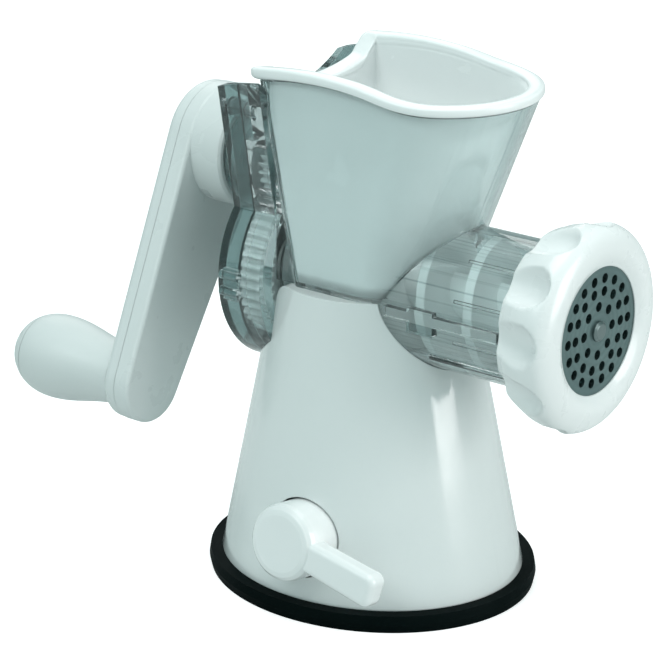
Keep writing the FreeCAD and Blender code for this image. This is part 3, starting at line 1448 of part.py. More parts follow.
def make_knob():
    rear = -num(ARM_REAR) - 1.0
    seam = rear - num(KNOB_SEAM)
    share = num(KNOB_SEAM) / num("knob_long")
    bore = num("spindle_radius + running_gap")
    body = knob_turned(0.0, share, 9, seam - 1, rear + 1, bore)
    body = body.cut(x_rod(num("spindle_radius + 3.4"), seam - 1, seam + 5.2))
    item = feature("knob_body", body)
    item.Placement = Placement(Vector(0, num(KNOB_Y), num(KNOB_Z)), Rotation())
    keep(item, "knob_body")
    cap = knob_turned(share + 0.004, 1.0, 7, 0, 0, 0)
    dimples = []
    for y, z in ringed(6, num("knob_radius") * 1.02, math.radians(20)):
        dimples.append(Part.makeSphere(6.0, Vector(rear - 0.93 * num("knob_long"), y, z)))
    item = feature("knob_cap", cap.cut(dimples))
    item.Placement = Placement(Vector(0, num(KNOB_Y), num(KNOB_Z)), Rotation())
    keep(item, "knob_cap")
    keep(turned("knob_spindle", [
        ("-%s - 3" % ARM_FRONT, "0"),
        ("-%s - 3" % ARM_FRONT, "spindle_radius"),
        ("-%s - 1 - %s + 4.8" % (ARM_REAR, KNOB_SEAM), "spindle_radius"),
        ("-%s - 1 - %s + 4.8" % (ARM_REAR, KNOB_SEAM), "spindle_radius + 3"),
        ("-%s - 1 - %s + 1.2" % (ARM_REAR, KNOB_SEAM), "spindle_radius + 3"),
        ("-%s - 1 - %s + 1.2" % (ARM_REAR, KNOB_SEAM), "0"),
    ], ("0", KNOB_Y, KNOB_Z)), "knob_spindle")


make_base_shell()
make_base_plate()
make_base_screws()
make_suction_cup()
make_cup_stem()
make_pull_yoke()
make_lever_shaft()
make_lever_clip()
make_suction_lever()
make_housing()
make_housing_screws()
make_plate_key()
make_gear_cover()
make_cover_screws()
make_cover_clips()
make_hopper_insert()
make_drive_gear()
make_crank_pinion()
make_turned_pieces()
make_drive_shaft()
make_auger()
make_auger_pin()
make_knife()
make_cutting_plate()
make_ring_nut()
make_crank_arm()
make_arm_screws()
make_crank_screw()
make_crank_cap()
make_knob()
doc.recompute()

faults = [item.Label for item in doc.Objects if {"Invalid", "Error"} & set(item.State)]
for part in PARTS:
    if part.Shape.isNull() or not part.Shape.isValid() or not part.Shape.Solids:
        faults.append(part.Label)
if faults:
    raise RuntimeError("failed: " + ", ".join(faults))

os.makedirs("parts", exist_ok=True)
for part in PARTS:
    part.Shape.exportStep("parts/%s.step" % part.Label)
    print("%-18s solids %2d  volume %10.1f" % (part.Label, len(part.Shape.Solids), part.Shape.Volume))
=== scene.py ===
import json
import math

import bmesh
import bpy
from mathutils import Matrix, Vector


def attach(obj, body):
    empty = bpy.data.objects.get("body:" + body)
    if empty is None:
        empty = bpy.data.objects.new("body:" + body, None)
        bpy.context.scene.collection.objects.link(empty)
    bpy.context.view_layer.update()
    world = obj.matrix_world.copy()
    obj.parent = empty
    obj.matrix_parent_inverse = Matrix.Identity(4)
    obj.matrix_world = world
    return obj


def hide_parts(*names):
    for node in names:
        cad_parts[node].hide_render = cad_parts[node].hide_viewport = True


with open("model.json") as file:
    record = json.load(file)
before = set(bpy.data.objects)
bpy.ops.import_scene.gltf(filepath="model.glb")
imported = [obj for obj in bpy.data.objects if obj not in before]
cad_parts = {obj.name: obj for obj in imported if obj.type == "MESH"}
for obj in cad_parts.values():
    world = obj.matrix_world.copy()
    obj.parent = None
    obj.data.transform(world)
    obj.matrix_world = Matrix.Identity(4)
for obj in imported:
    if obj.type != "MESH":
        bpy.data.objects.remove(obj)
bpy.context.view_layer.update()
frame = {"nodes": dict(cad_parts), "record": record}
NODES = frame["nodes"]
MM = 0.001
# Height of the barrel's axis in millimetres; the nut, the plate and the auger share it.
BARREL_AXIS = 126.5

# Finishes: colour, clouded colour, roughness and clear coat of each moulded piece.

WHITE_MOULDINGS = {
    "base_white": ((0.78, 0.805, 0.800), (0.74, 0.770, 0.765), 0.16, 1.0),
    "crank_white": ((0.74, 0.765, 0.760), (0.69, 0.720, 0.715), 0.30, 0.0),
    "knob_white": ((0.72, 0.745, 0.740), (0.67, 0.700, 0.695), 0.38, 0.0),
    "lever_white": ((0.88, 0.890, 0.888), (0.84, 0.856, 0.853), 0.22, 0.5),
    "nut_white": ((0.86, 0.870, 0.868), (0.82, 0.836, 0.833), 0.28, 0.3),
    "hopper_white": ((0.92, 0.930, 0.928), (0.89, 0.902, 0.900), 0.24, 0.2),
    "gear_white": ((0.80, 0.820, 0.816), (0.70, 0.730, 0.725), 0.42, 0.0),
    "auger_white": ((0.76, 0.785, 0.780), (0.68, 0.710, 0.705), 0.34, 0.0),
    "inner_plastic": ((0.42, 0.46, 0.46), (0.36, 0.40, 0.40), 0.50, 0.0),
    "bush_plastic": ((0.55, 0.58, 0.57), (0.47, 0.50, 0.49), 0.45, 0.0),
}
# Bare metals: colour, darker places and roughness.
STEELS = {
    "screw_steel": ((0.56, 0.58, 0.59), (0.40, 0.42, 0.43), 0.32),
    "shaft_steel": ((0.22, 0.27, 0.27), (0.15, 0.19, 0.19), 0.36),
    "knife_steel": ((0.50, 0.53, 0.54), (0.34, 0.37, 0.38), 0.26),
}
# Rubbers: colour and dull places.
RUBBERS = {
    "foot_rubber": ((0.0015, 0.0045, 0.0045), (0.006, 0.010, 0.010)),
    "seal_rubber": ((0.020, 0.024, 0.024), (0.050, 0.058, 0.058)),
}
# Clear plastics: tint, clouded tint and, where the piece has them, the dark tint of its thin lines and of
# the painted shade under its rails.
CLEAR_MOULDINGS = {
    # The housing's third colour is the dark tint of its lines and of the painted shade under its side rails.
    "clear_housing": ((0.74, 0.82, 0.82), (0.68, 0.76, 0.76), (0.26, 0.36, 0.36)),
    "clear_cover": ((0.50, 0.62, 0.62), (0.43, 0.54, 0.54), None),
}
PLATE_GREY = (0.22, 0.31, 0.31)
PLATE_CLOUDED = (0.13, 0.195, 0.195)
PLATE_DARK = (0.11, 0.165, 0.165)
LIGHT_THROUGH_CLEAR = (0.83, 0.89, 0.89)
WHITE = (1.0, 1.0, 1.0, 1.0)

# Thin dark lines and painted shade under the side rails on the clear housing, and rings on the plate, with
# places in metres in the shared frame.

AXIS_HEIGHT = BARREL_AXIS * MM
BARREL_REACH = 0.0292
BARREL_FROM = 0.020
# The band of painted shade under the barrel's side rails: how far out from the axis it starts, and the
# heights of its foot and top.
RAIL_FROM = 0.030
RAIL_SHADE_BAND = (0.1195, 0.1245)
COARSE_STREAKS = 17.0
FINE_STREAKS = 31.0
STREAK_CREST = (0.96, 0.995)
STREAK_WEIGHT = 0.5
RING_WOBBLE = 0.0006
# The rings' waves, in radians for each metre out from the axis.
RING_RATE = 2200.0


def set_inputs(node, values):
    """Set a node's inputs by name; a key such as Clouded_Colour stands for the input Clouded Colour."""
    for name, value in values.items():
        node.inputs[name.replace("_", " ")].default_value = value
    return node


def add(tree, kind, **values):
    """A node of one kind with some of its inputs set."""
    return set_inputs(tree.nodes.new(kind), values)


def join(tree, source, target):
    tree.links.new(source, target)


def math_node(tree, operation, first, second=None):
    node = tree.nodes.new("ShaderNodeMath")
    node.operation = operation
    for index, value in enumerate((first, second)):
        if value is None:
            continue
        if isinstance(value, (int, float)):
            node.inputs[index].default_value = value
        else:
            join(tree, value, node.inputs[index])
    return node.outputs[0]


def mix_colour(tree, share, first, second):
    node = tree.nodes.new("ShaderNodeMix")
    node.data_type = "RGBA"
    join(tree, share, node.inputs["Factor"])
    for socket, value in ((node.inputs[6], first), (node.inputs[7], second)):
        if isinstance(value, tuple):
            socket.default_value = value
        else:
            join(tree, value, socket)
    return node.outputs[2]


def span(tree, value, low, high, to_low, to_high):
    """Carry a value from one range to another."""
    node = tree.nodes.new("ShaderNodeMapRange")
    join(tree, value, node.inputs["Value"])
    for name, number in (("From Min", low), ("From Max", high), ("To Min", to_low), ("To Max", to_high)):
        node.inputs[name].default_value = number
    return node.outputs["Result"]


def new_group(name, inputs, outputs):
    """An empty shader group with named sockets; colours are given as 4 numbers, values as one."""
    group = bpy.data.node_groups.new(name, "ShaderNodeTree")
    for label, value in inputs.items():
        kind = "NodeSocketColor" if isinstance(value, tuple) else "NodeSocketFloat"
        socket = group.interface.new_socket(label, in_out="INPUT", socket_type=kind)
        socket.default_value = value
    for label, kind in outputs.items():
        group.interface.new_socket(label, in_out="OUTPUT", socket_type="NodeSocket" + kind)
    return group, group.nodes.new("NodeGroupInput"), group.nodes.new("NodeGroupOutput")


def noise(tree, where, scale, detail=2.0, roughness=0.5):
    node = add(tree, "ShaderNodeTexNoise", Detail=detail, Roughness=roughness)
    join(tree, where, node.inputs["Vector"])
    if isinstance(scale, (int, float)):
        node.inputs["Scale"].default_value = scale
    else:
        join(tree, scale, node.inputs["Scale"])
    return node.outputs["Fac"]


def make_moulded_skin():
    """Moulded plastic: slow cloudiness, fine grain and a gloss that drifts a little."""
    group, given, made = new_group(
        "moulded skin",
        {"Colour": WHITE, "Clouded Colour": WHITE, "Gloss": 0.3, "Grain": 900.0},
        {"Colour": "Color", "Roughness": "Float", "Height": "Float"})
    where = group.nodes.new("ShaderNodeTexCoord").outputs["Object"]
    clouds = noise(group, where, scale=18.0, detail=3.0, roughness=0.55)
    share = span(group, clouds, 0.35, 0.75, 0.0, 0.55)
    flecks = noise(group, where, scale=260.0, detail=1.0)
    fleck_share = math_node(group, "MULTIPLY", span(group, flecks, 0.58, 0.70, 0.0, 1.0), 0.10)
    total = math_node(group, "ADD", share, fleck_share)
    join(group, mix_colour(group, total, given.outputs["Colour"], given.outputs["Clouded Colour"]),
         made.inputs["Colour"])
    uneven = math_node(group, "SUBTRACT", noise(group, where, scale=55.0, detail=4.0), 0.5)
    drift = math_node(group, "MULTIPLY", uneven, 0.22)
    join(group, math_node(group, "ADD", given.outputs["Gloss"], drift), made.inputs["Roughness"])
    grain = noise(group, where, given.outputs["Grain"])
    ripple = noise(group, where, scale=32.0, detail=1.0)
    height = math_node(group, "ADD", math_node(group, "MULTIPLY", grain, 0.25), ripple)
    join(group, height, made.inputs["Height"])
    return group


def make_rubbed_marks():
    """Hair-fine rubbing marks that run mostly round the piece."""
    group, given, made = new_group("rubbed marks", {"Amount": 0.5, "Fineness": 1.0}, {"Mask": "Float"})
    where = group.nodes.new("ShaderNodeTexCoord").outputs["Object"]
    stretch = add(group, "ShaderNodeMapping", Scale=(140.0, 140.0, 2600.0), Rotation=(0.12, 0.07, 0.0))
    join(group, where, stretch.inputs["Vector"])
    lines = noise(group, stretch.outputs["Vector"], given.outputs["Fineness"])
    patches = noise(group, where, scale=38.0)
    both = math_node(group, "MULTIPLY", span(group, lines, 0.60, 0.74, 0.0, 1.0),
                     span(group, patches, 0.45, 0.68, 0.0, 1.0))
    join(group, math_node(group, "MULTIPLY", both, given.outputs["Amount"]), made.inputs["Mask"])
    return group


def about_the_axis(group, where, axis_height):
    """A place's three coordinates, its height over the barrel's axis and its distance from that axis."""
    parts = group.nodes.new("ShaderNodeSeparateXYZ")
    join(group, where, parts.inputs[0])
    up = math_node(group, "SUBTRACT", parts.outputs["Z"], axis_height)
    square = math_node(group, "ADD", math_node(group, "POWER", parts.outputs["Y"], 2.0),
                       math_node(group, "POWER", up, 2.0))
    return parts, up, math_node(group, "SQRT", square)


def make_ground_rings():
    """Fine turned rings about the barrel's axis, as a lathe or a grinding wheel leaves."""
    group, given, made = new_group(
        "ground rings",
        {"Axis Height": AXIS_HEIGHT, "Ring Rate": RING_RATE},
        {"Height": "Float", "Shade": "Float"})
    where = group.nodes.new("ShaderNodeTexCoord").outputs["Object"]
    _, _, radius = about_the_axis(group, where, given.outputs["Axis Height"])
    wobble = math_node(group, "MULTIPLY", noise(group, where, scale=120.0), RING_WOBBLE)
    uneven = math_node(group, "ADD", radius, wobble)
    waves = math_node(group, "SINE", math_node(group, "MULTIPLY", uneven, given.outputs["Ring Rate"]))
    join(group, span(group, waves, -1.0, 1.0, 0.0, 1.0), made.inputs["Height"])
    broad = noise(group, where, scale=60.0, detail=3.0)
    shade = math_node(group, "MULTIPLY", span(group, waves, -1.0, 1.0, 0.6, 1.0), broad)
    join(group, shade, made.inputs["Shade"])
    return group


def make_barrel_streaks_and_shade():
    """Thin dark lines along the barrel at fixed angles round its axis, and a band of painted shade under its
    side rails.
    """
    foot, top = RAIL_SHADE_BAND
    group, given, made = new_group(
        "barrel streaks",
        {"Axis Height": AXIS_HEIGHT, "Reach": BARREL_REACH, "Shade Foot": foot, "Shade Top": top},
        {"Mask": "Float"})
    where = group.nodes.new("ShaderNodeTexCoord").outputs["Object"]
    parts, up, radius = about_the_axis(group, where, given.outputs["Axis Height"])
    near = math_node(group, "LESS_THAN", radius, given.outputs["Reach"])
    turn = math_node(group, "ARCTAN2", up, parts.outputs["Y"])
    coarse = math_node(group, "SINE", math_node(group, "MULTIPLY", turn, COARSE_STREAKS))
    fine = math_node(group, "SINE", math_node(group, "MULTIPLY", turn, FINE_STREAKS))
    crests = span(group, math_node(group, "MAXIMUM", coarse, fine), *STREAK_CREST, 0.0, 1.0)
    lines = math_node(group, "MULTIPLY", crests, near)
    # A band of painted shade under the side rails, in the same dark tint as the lines.
    over = math_node(group, "GREATER_THAN", parts.outputs["Z"], given.outputs["Shade Foot"])
    under = math_node(group, "LESS_THAN", parts.outputs["Z"], given.outputs["Shade Top"])
    outward = math_node(group, "GREATER_THAN", math_node(group, "ABSOLUTE", parts.outputs["Y"]), RAIL_FROM)
    forward = math_node(group, "GREATER_THAN", parts.outputs["X"], BARREL_FROM)
    rail_shade = math_node(group, "MULTIPLY", math_node(group, "MULTIPLY", over, under), outward)
    both = math_node(group, "MAXIMUM", math_node(group, "MULTIPLY", lines, STREAK_WEIGHT), rail_shade)
    join(group, math_node(group, "MULTIPLY", both, forward), made.inputs["Mask"])
    return group


SKIN = make_moulded_skin()
MARKS = make_rubbed_marks()
RINGS = make_ground_rings()
STREAKS_AND_SHADE = make_barrel_streaks_and_shade()


def place_group(tree, group, **values):
    """A shared effect placed in a material, with the material's own values."""
    node = tree.nodes.new("ShaderNodeGroup")
    node.node_tree = group
    return set_inputs(node, values)


def new_material(name):
    material = bpy.data.materials.new(name)
    material.use_nodes = True
    tree = material.node_tree
    tree.nodes.clear()
    shader = tree.nodes.new("ShaderNodeBsdfPrincipled")
    output = tree.nodes.new("ShaderNodeOutputMaterial")
    join(tree, shader.outputs[0], output.inputs["Surface"])
    return material, tree, shader, output


def bump_into(tree, shader, height, strength, distance, edge=0.0):
    """Fine relief on a piece, with its edges softened by a small radius where one is given, in metres."""
    bump = add(tree, "ShaderNodeBump", Strength=strength, Distance=distance)
    join(tree, height, bump.inputs["Height"])
    if edge:
        soft = add(tree, "ShaderNodeBevel", Radius=edge)
        soft.samples = 6
        join(tree, soft.outputs["Normal"], bump.inputs["Normal"])
    join(tree, bump.outputs["Normal"], shader.inputs["Normal"])


def choose_shader(tree, share, first, second, output):
    """The surface is the first shader where the share is 0 and the second where it is 1."""
    choose = tree.nodes.new("ShaderNodeMixShader")
    join(tree, share, choose.inputs["Fac"])
    join(tree, first.outputs[0], choose.inputs[1])
    join(tree, second.outputs[0], choose.inputs[2])
    join(tree, choose.outputs[0], output.inputs["Surface"])


def opaque(colour):
    return (*colour, 1.0)


def moulded_white(name, colour, clouded, gloss, coat):
    """White or grey moulded plastic with a clear sheen."""
    material, tree, shader, _ = new_material(name)
    skin = place_group(tree, SKIN, Colour=opaque(colour), Clouded_Colour=opaque(clouded), Gloss=gloss)
    marks = place_group(tree, MARKS, Amount=0.15)
    join(tree, mix_colour(tree, marks.outputs["Mask"], skin.outputs["Colour"], opaque(clouded)),
         shader.inputs["Base Color"])
    dulled = math_node(tree, "MULTIPLY", marks.outputs["Mask"], 0.2)
    join(tree, math_node(tree, "ADD", skin.outputs["Roughness"], dulled), shader.inputs["Roughness"])
    bump_into(tree, shader, skin.outputs["Height"], strength=0.12, distance=0.0006, edge=0.0007)
    shader.inputs["IOR"].default_value = 1.48
    shader.inputs["Coat Weight"].default_value = coat
    shader.inputs["Coat Roughness"].default_value = 0.12
    shader.inputs["Coat IOR"].default_value = 1.6
    return material


def bare_steel(name, colour, dark, gloss):
    """Bright steel with fine rubbing."""
    material, tree, shader, _ = new_material(name)
    skin = place_group(
        tree, SKIN, Colour=opaque(colour), Clouded_Colour=opaque(dark), Gloss=gloss, Grain=1600.0)
    marks = place_group(tree, MARKS, Amount=0.8, Fineness=1.6)
    join(tree, mix_colour(tree, marks.outputs["Mask"], skin.outputs["Colour"], opaque(dark)),
         shader.inputs["Base Color"])
    join(tree, skin.outputs["Roughness"], shader.inputs["Roughness"])
    bump_into(tree, shader, skin.outputs["Height"], strength=0.15, distance=0.0004, edge=0.0003)
    shader.inputs["Metallic"].default_value = 1.0
    return material


def plate_steel(name):
    """The cutting plate: grey ground steel with turned rings."""
    material, tree, shader, _ = new_material(name)
    skin = place_group(
        tree, SKIN, Colour=opaque(PLATE_GREY), Clouded_Colour=opaque(PLATE_CLOUDED), Gloss=0.36)
    rings = place_group(tree, RINGS)
    join(tree, mix_colour(tree, rings.outputs["Shade"], opaque(PLATE_DARK), skin.outputs["Colour"]),
         shader.inputs["Base Color"])
    join(tree, skin.outputs["Roughness"], shader.inputs["Roughness"])
    bump_into(tree, shader, rings.outputs["Height"], strength=0.25, distance=0.0003)
    shader.inputs["Metallic"].default_value = 0.9
    return material


def black_rubber(name, colour, dull):
    """Black rubber: dull, with hardly any mirror light."""
    material, tree, shader, _ = new_material(name)
    skin = place_group(
        tree, SKIN, Colour=opaque(colour), Clouded_Colour=opaque(dull), Gloss=0.48, Grain=1400.0)
    marks = place_group(tree, MARKS, Amount=0.5)
    join(tree, mix_colour(tree, marks.outputs["Mask"], skin.outputs["Colour"], opaque(dull)),
         shader.inputs["Base Color"])
    join(tree, skin.outputs["Roughness"], shader.inputs["Roughness"])
    bump_into(tree, shader, skin.outputs["Height"], strength=0.3, distance=0.0006)
    shader.inputs["Specular IOR Level"].default_value = 0.02
    return material


def clear_smoky(name, colour, clouded, streak_and_shade):
    """Clear plastic with a smoky tint; light passes it on the way to what is inside."""
    material, tree, shader, output = new_material(name)
    skin = place_group(
        tree, SKIN, Colour=opaque(colour), Clouded_Colour=opaque(clouded), Gloss=0.05, Grain=500.0)
    tint = skin.outputs["Colour"]
    if streak_and_shade:
        # Dark lines along the barrel and painted shade under its side rails, mixed into the tint.
        streaks_and_shade = place_group(tree, STREAKS_AND_SHADE)
        tint = mix_colour(tree, streaks_and_shade.outputs["Mask"], tint, opaque(streak_and_shade))
    join(tree, tint, shader.inputs["Base Color"])
    join(tree, span(tree, skin.outputs["Roughness"], 0.0, 0.2, 0.015, 0.09), shader.inputs["Roughness"])
    bump_into(tree, shader, skin.outputs["Height"], strength=0.06, distance=0.0006, edge=0.0004)
    shader.inputs["Transmission Weight"].default_value = 0.96
    shader.inputs["IOR"].default_value = 1.40
    shader.inputs["Coat Weight"].default_value = 0.5
    shader.inputs["Coat Roughness"].default_value = 0.04
    see_through = add(tree, "ShaderNodeBsdfTransparent", Color=opaque(LIGHT_THROUGH_CLEAR))
    path = tree.nodes.new("ShaderNodeLightPath")
    choose_shader(tree, path.outputs["Is Shadow Ray"], shader, see_through, output)
    return material


def make_finishes():
    """Every finish of the object by its name."""
    finishes = {"plate_steel": plate_steel("plate_steel")}
    kinds = (
        (moulded_white, WHITE_MOULDINGS),
        (bare_steel, STEELS),
        (black_rubber, RUBBERS),
        (clear_smoky, CLEAR_MOULDINGS),
    )
    for make, table in kinds:
        for name, values in table.items():
            finishes[name] = make(name, *values)
    return finishes


FINISHES = make_finishes()
for entry in frame["record"]["subparts"]:
    node = NODES[entry["node"]]
    for spot in node.material_slots:
        spot.material = FINISHES[entry["material_slot"]]

# Shaped pieces. Their sizes are in millimetres in the shared frame, like the solids they stand for.


def grid_mesh(build, rows, closed=True):
    """Faces between rows of points of equal length; closed, rows and columns run round and meet."""
    made = [[build.verts.new(Vector(point) * MM) for point in row] for row in rows]
    row_pairs = list(zip(made, made[1:]))
    if closed:
        row_pairs.append((made[-1], made[0]))
    for low, high in row_pairs:
        for i in range(len(low) if closed else len(low) - 1):
            k = (i + 1) % len(low)
            build.faces.new((low[i], low[k], high[k], high[i])).smooth = True


def new_piece(name, build, finish, body, *stands_for):
    """A finished mesh as a piece of the object: it rides on a body and may stand for solids of that body."""
    bmesh.ops.recalc_face_normals(build, faces=build.faces)
    mesh = bpy.data.meshes.new(name)
    build.to_mesh(mesh)
    build.free()
    mesh.materials.append(FINISHES[finish])
    piece = bpy.data.objects.new(name, mesh)
    bpy.context.scene.collection.objects.link(piece)
    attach(piece, body)
    if stands_for:
        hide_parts(*stands_for)


def smooth_line(points, steps):
    """A curve through the given points, with steps between each pair."""
    line = []
    last = len(points) - 1
    for i in range(last):
        before = Vector(points[max(i - 1, 0)])
        start = Vector(points[i])
        stop = Vector(points[i + 1])
        after = Vector(points[min(i + 2, last)])
        for k in range(steps):
            t = k / steps
            line.append(0.5 * (2 * start + (stop - before) * t
                               + (2 * before - 5 * start + 4 * stop - after) * t ** 2
                               + (3 * start - before - 3 * stop + after) * t ** 3))
    line.append(Vector(points[-1]))
    return line


def soft_min(first, second, reach):
    """The lesser of two values, blended where they come within reach of each other."""
    share = max(reach - abs(first - second), 0.0) / reach
    return min(first, second) - share * share * reach / 4


def clamp(value, low=0.0, high=1.0):
    return min(max(value, low), high)


# Ring nut: places along the barrel and distances from its axis.

NUT_REAR = 83.9
NUT_REAR_EDGE = 33.6
NUT_SEAT = 106.45
NUT_MOUTH = 25.0
NUT_BORE = 30.9
NUT_BORE_MIDDLE = 95.0
NUT_OUTSIDE = [
    (84.1, 34.4), (84.9, 35.6), (89.0, 37.6), (94.0, 39.7), (98.5, 40.85), (101.5, 40.9), (104.5, 40.0),
    (106.8, 38.0), (108.2, 35.2), (108.8, 32.4), (108.75, 30.2), (108.2, 28.0), (107.2, 25.9), (106.8, 25.1),
]
NUT_CURVE_STEPS = 5
NOTCHES = 11
NOTCH_STEPS = 28
NOTCH_TURN = math.radians(12)
NOTCH_RADIUS = 8.5
NOTCH_AXIS = 41.8
NOTCH_END = 96.4
NOTCH_BLEND = 1.6
NOTCHED_FROM = 31.0
CLEAR_OF_NUT = 99.0
THREAD_START = 96.0
THREAD_PITCH = 4.0
THREAD_TURNS = 2
THREAD_STEPS = 48
# Offset along the barrel and distance from its axis of the thread's edges.
THREAD_SECTION = ((-0.75, 31.2), (-0.45, 29.6), (0.45, 29.6), (0.75, 31.2))


def notch_floor(x, turn):
    """How far out the finger notches let the nut stand, at a place along it and an angle round it."""
    step = 2 * math.pi / NOTCHES
    off = (turn - NOTCH_TURN + step / 2) % step - step / 2
    past = max(x - NOTCH_END, 0.0)
    room = NOTCH_RADIUS ** 2 - past ** 2 - (NOTCH_AXIS * math.sin(off)) ** 2
    if room <= 0:
        return CLEAR_OF_NUT
    return NOTCH_AXIS * math.cos(off) - math.sqrt(room)


def round_barrel(x, radius, turn):
    """The point at a place along the barrel, a distance from its axis and an angle round it."""
    return (x, radius * math.cos(turn), BARREL_AXIS + radius * math.sin(turn))


def make_ring_nut():
    """The ring nut: a soft ring whose finger notches fade before its smooth front, and its inner thread."""
    columns = NOTCHES * NOTCH_STEPS
    outside = [tuple(point) for point in smooth_line(NUT_OUTSIDE, NUT_CURVE_STEPS)]
    inside = [(NUT_SEAT, NUT_MOUTH), (NUT_SEAT, NUT_BORE), (NUT_BORE_MIDDLE, NUT_BORE),
              (NUT_REAR, NUT_BORE), (NUT_REAR, NUT_REAR_EDGE)]
    build = bmesh.new()
    rows = []
    for x, radius in outside + inside:
        row = []
        for i in range(columns):
            turn = 2 * math.pi * i / columns
            stand = soft_min(radius, notch_floor(x, turn), NOTCH_BLEND) if radius > NOTCHED_FROM else radius
            row.append(round_barrel(x, stand, turn))
        rows.append(row)
    grid_mesh(build, rows)
    thread = []
    for i in range(THREAD_TURNS * THREAD_STEPS + 1):
        turn = 2 * math.pi * i / THREAD_STEPS
        along = THREAD_START + THREAD_PITCH * i / THREAD_STEPS
        thread.append([round_barrel(along + offset, radius, turn) for offset, radius in THREAD_SECTION])
    grid_mesh(build, thread, closed=False)
    new_piece("ring_nut_body", build, "nut_white", "nut", "ring_nut")


# Hopper insert: a funnel with a rolled rim that arches along its sides and hollows out at the rear.

HOPPER_BOTTOM = 129.5
HOPPER_SHOULDER = 197.0
LIP_LEVEL = 209.6
BORE_RADIUS = 25.6
RIM_PEAK = (3.0, 214.4)
RIM_REAR_REACH = 48.0
RIM_REAR_FALL = 6.6
RIM_FRONT_RUN = 50.0
RIM_FRONT_FALL = 4.8
RIM_LEVEL_FROM = -24.4
RIM_UNDER = 2.6
RIM_OVER = (2.6, 1.4)
RIM_OVER_SPAN = (-30.0, 10.0)
RIM_THIN = 2.2
RIM_ROUNDNESS = 0.55
REAR_CORNER = 35.25
REAR_RUN = 16.0
REAR_FALL = 9.0
REAR_TOP = 203.3
REAR_TOP_RISE = 6.2
REAR_TOP_POWER = 1.9
REAR_BLEND = 1.5
REAR_EASE_FROM = 0.5
REAR_EASE_RUN = 6.0
# Rear, crease, front, half width and corner of each section, seen from above.
OUTSIDE_LOW = (14.0, 15.0, 36.0, 31.2, 2.5)
OUTSIDE_HIGH = (25.4, 34.0, 58.0, 33.9, 2.5)
OUTSIDE_LIP = (25.4, 34.0, 67.5, 33.9, 2.5)
INSIDE_LOW = (12.0, 15.0, 34.0, 24.0, 0.6)
INSIDE_HIGH = (23.4, 34.0, 56.0, 31.9, 0.6)
INSIDE_LIP = (23.4, 34.0, 65.5, 31.9, 0.6)
RIM_INSIDE = (23.3, 34.0, 65.4, 31.8, 0.8)
RIM_OUTSIDE = (32.5, 34.0, 71.9, 38.3, 4.5)
SIDE_STEPS = 30
FRONT_STEPS = 80
CORNER_STEPS = 12
REAR_STEPS = 48
WALL_STEPS = 14
FLARE_STEPS = 6
RIM_STEPS = 36


def funnel_loop(rear, crease, front, half, corner):
    """One section seen from above: straight rear and sides, a round front and small rear corners."""
    loop = []
    side_from = corner - rear
    for i in range(SIDE_STEPS):
        loop.append((side_from + (crease - side_from) * i / SIDE_STEPS, -half))
    for i in range(FRONT_STEPS):
        turn = math.pi * (i / FRONT_STEPS - 0.5)
        loop.append((crease + (front - crease) * math.cos(turn), half * math.sin(turn)))
    for i in range(SIDE_STEPS):
        loop.append((crease + (side_from - crease) * i / SIDE_STEPS, half))
    for i in range(CORNER_STEPS):
        turn = math.pi / 2 * (1 + i / CORNER_STEPS)
        loop.append((side_from + corner * math.cos(turn), half - corner + corner * math.sin(turn)))
    for i in range(REAR_STEPS):
        loop.append((-rear, (half - corner) * (1 - 2 * i / REAR_STEPS)))
    for i in range(CORNER_STEPS):
        turn = math.pi / 2 * (2 + i / CORNER_STEPS)
        loop.append((side_from + corner * math.cos(turn), corner - half + corner * math.sin(turn)))
    return loop


def bow_fall(along, reach, fall):
    """How far an arc that starts level has fallen after going along a part of its reach."""
    radius = (reach ** 2 + fall ** 2) / (2 * fall)
    return radius - math.sqrt(radius ** 2 - along ** 2)


def ess_fall(along, run, fall):
    """How far a curve that starts and ends level has fallen after going along a part of its run."""
    along = clamp(along, 0.0, run)
    if along < run / 2:
        return bow_fall(along, run / 2, fall / 2)
    return fall - bow_fall(run - along, run / 2, fall / 2)


def rim_height(x):
    """The middle of the rim along the sides: an arch to the rear of its peak, an S in front, then level."""
    peak_x, peak_z = RIM_PEAK
    x = max(x, RIM_LEVEL_FROM)
    if x < peak_x:
        return peak_z - bow_fall(peak_x - x, RIM_REAR_REACH, RIM_REAR_FALL)
    return peak_z - ess_fall(x - peak_x, RIM_FRONT_RUN, RIM_FRONT_FALL)


def rim_span(x, y, at_rear):
    """The rim's underside and top at one place, which may lie along the hollowed rear edge."""
    level = rim_height(x)
    low, high = RIM_OVER_SPAN
    forward = clamp((x - low) / (high - low))
    rear_over, front_over = RIM_OVER
    side = Vector((level - RIM_UNDER, level + rear_over + (front_over - rear_over) * forward))
    if not at_rear:
        return side
    reach = min(abs(y), REAR_CORNER) / REAR_CORNER
    under = level - RIM_UNDER - ess_fall(REAR_CORNER - abs(y), REAR_RUN, REAR_FALL)
    edge = REAR_TOP + REAR_TOP_RISE * reach ** REAR_TOP_POWER
    over = -soft_min(-edge, -(under + RIM_THIN), REAR_BLEND)
    inward = clamp((REAR_CORNER + REAR_EASE_FROM - abs(y)) / REAR_EASE_RUN)
    ease = inward * inward * (3.0 - 2.0 * inward)
    return side.lerp(Vector((under, over)), ease)


def rear_places():
    """For each place of a loop, whether it lies past the start of the first rear corner."""
    ahead = 2 * SIDE_STEPS + FRONT_STEPS + 1
    return [False] * ahead + [True] * (2 * CORNER_STEPS + REAR_STEPS - 1)


def bore_top(y):
    """The funnel ends where the auger's bore passes under it."""
    return max(HOPPER_BOTTOM, BARREL_AXIS + math.sqrt(max(BORE_RADIUS ** 2 - y ** 2, 0.0)))


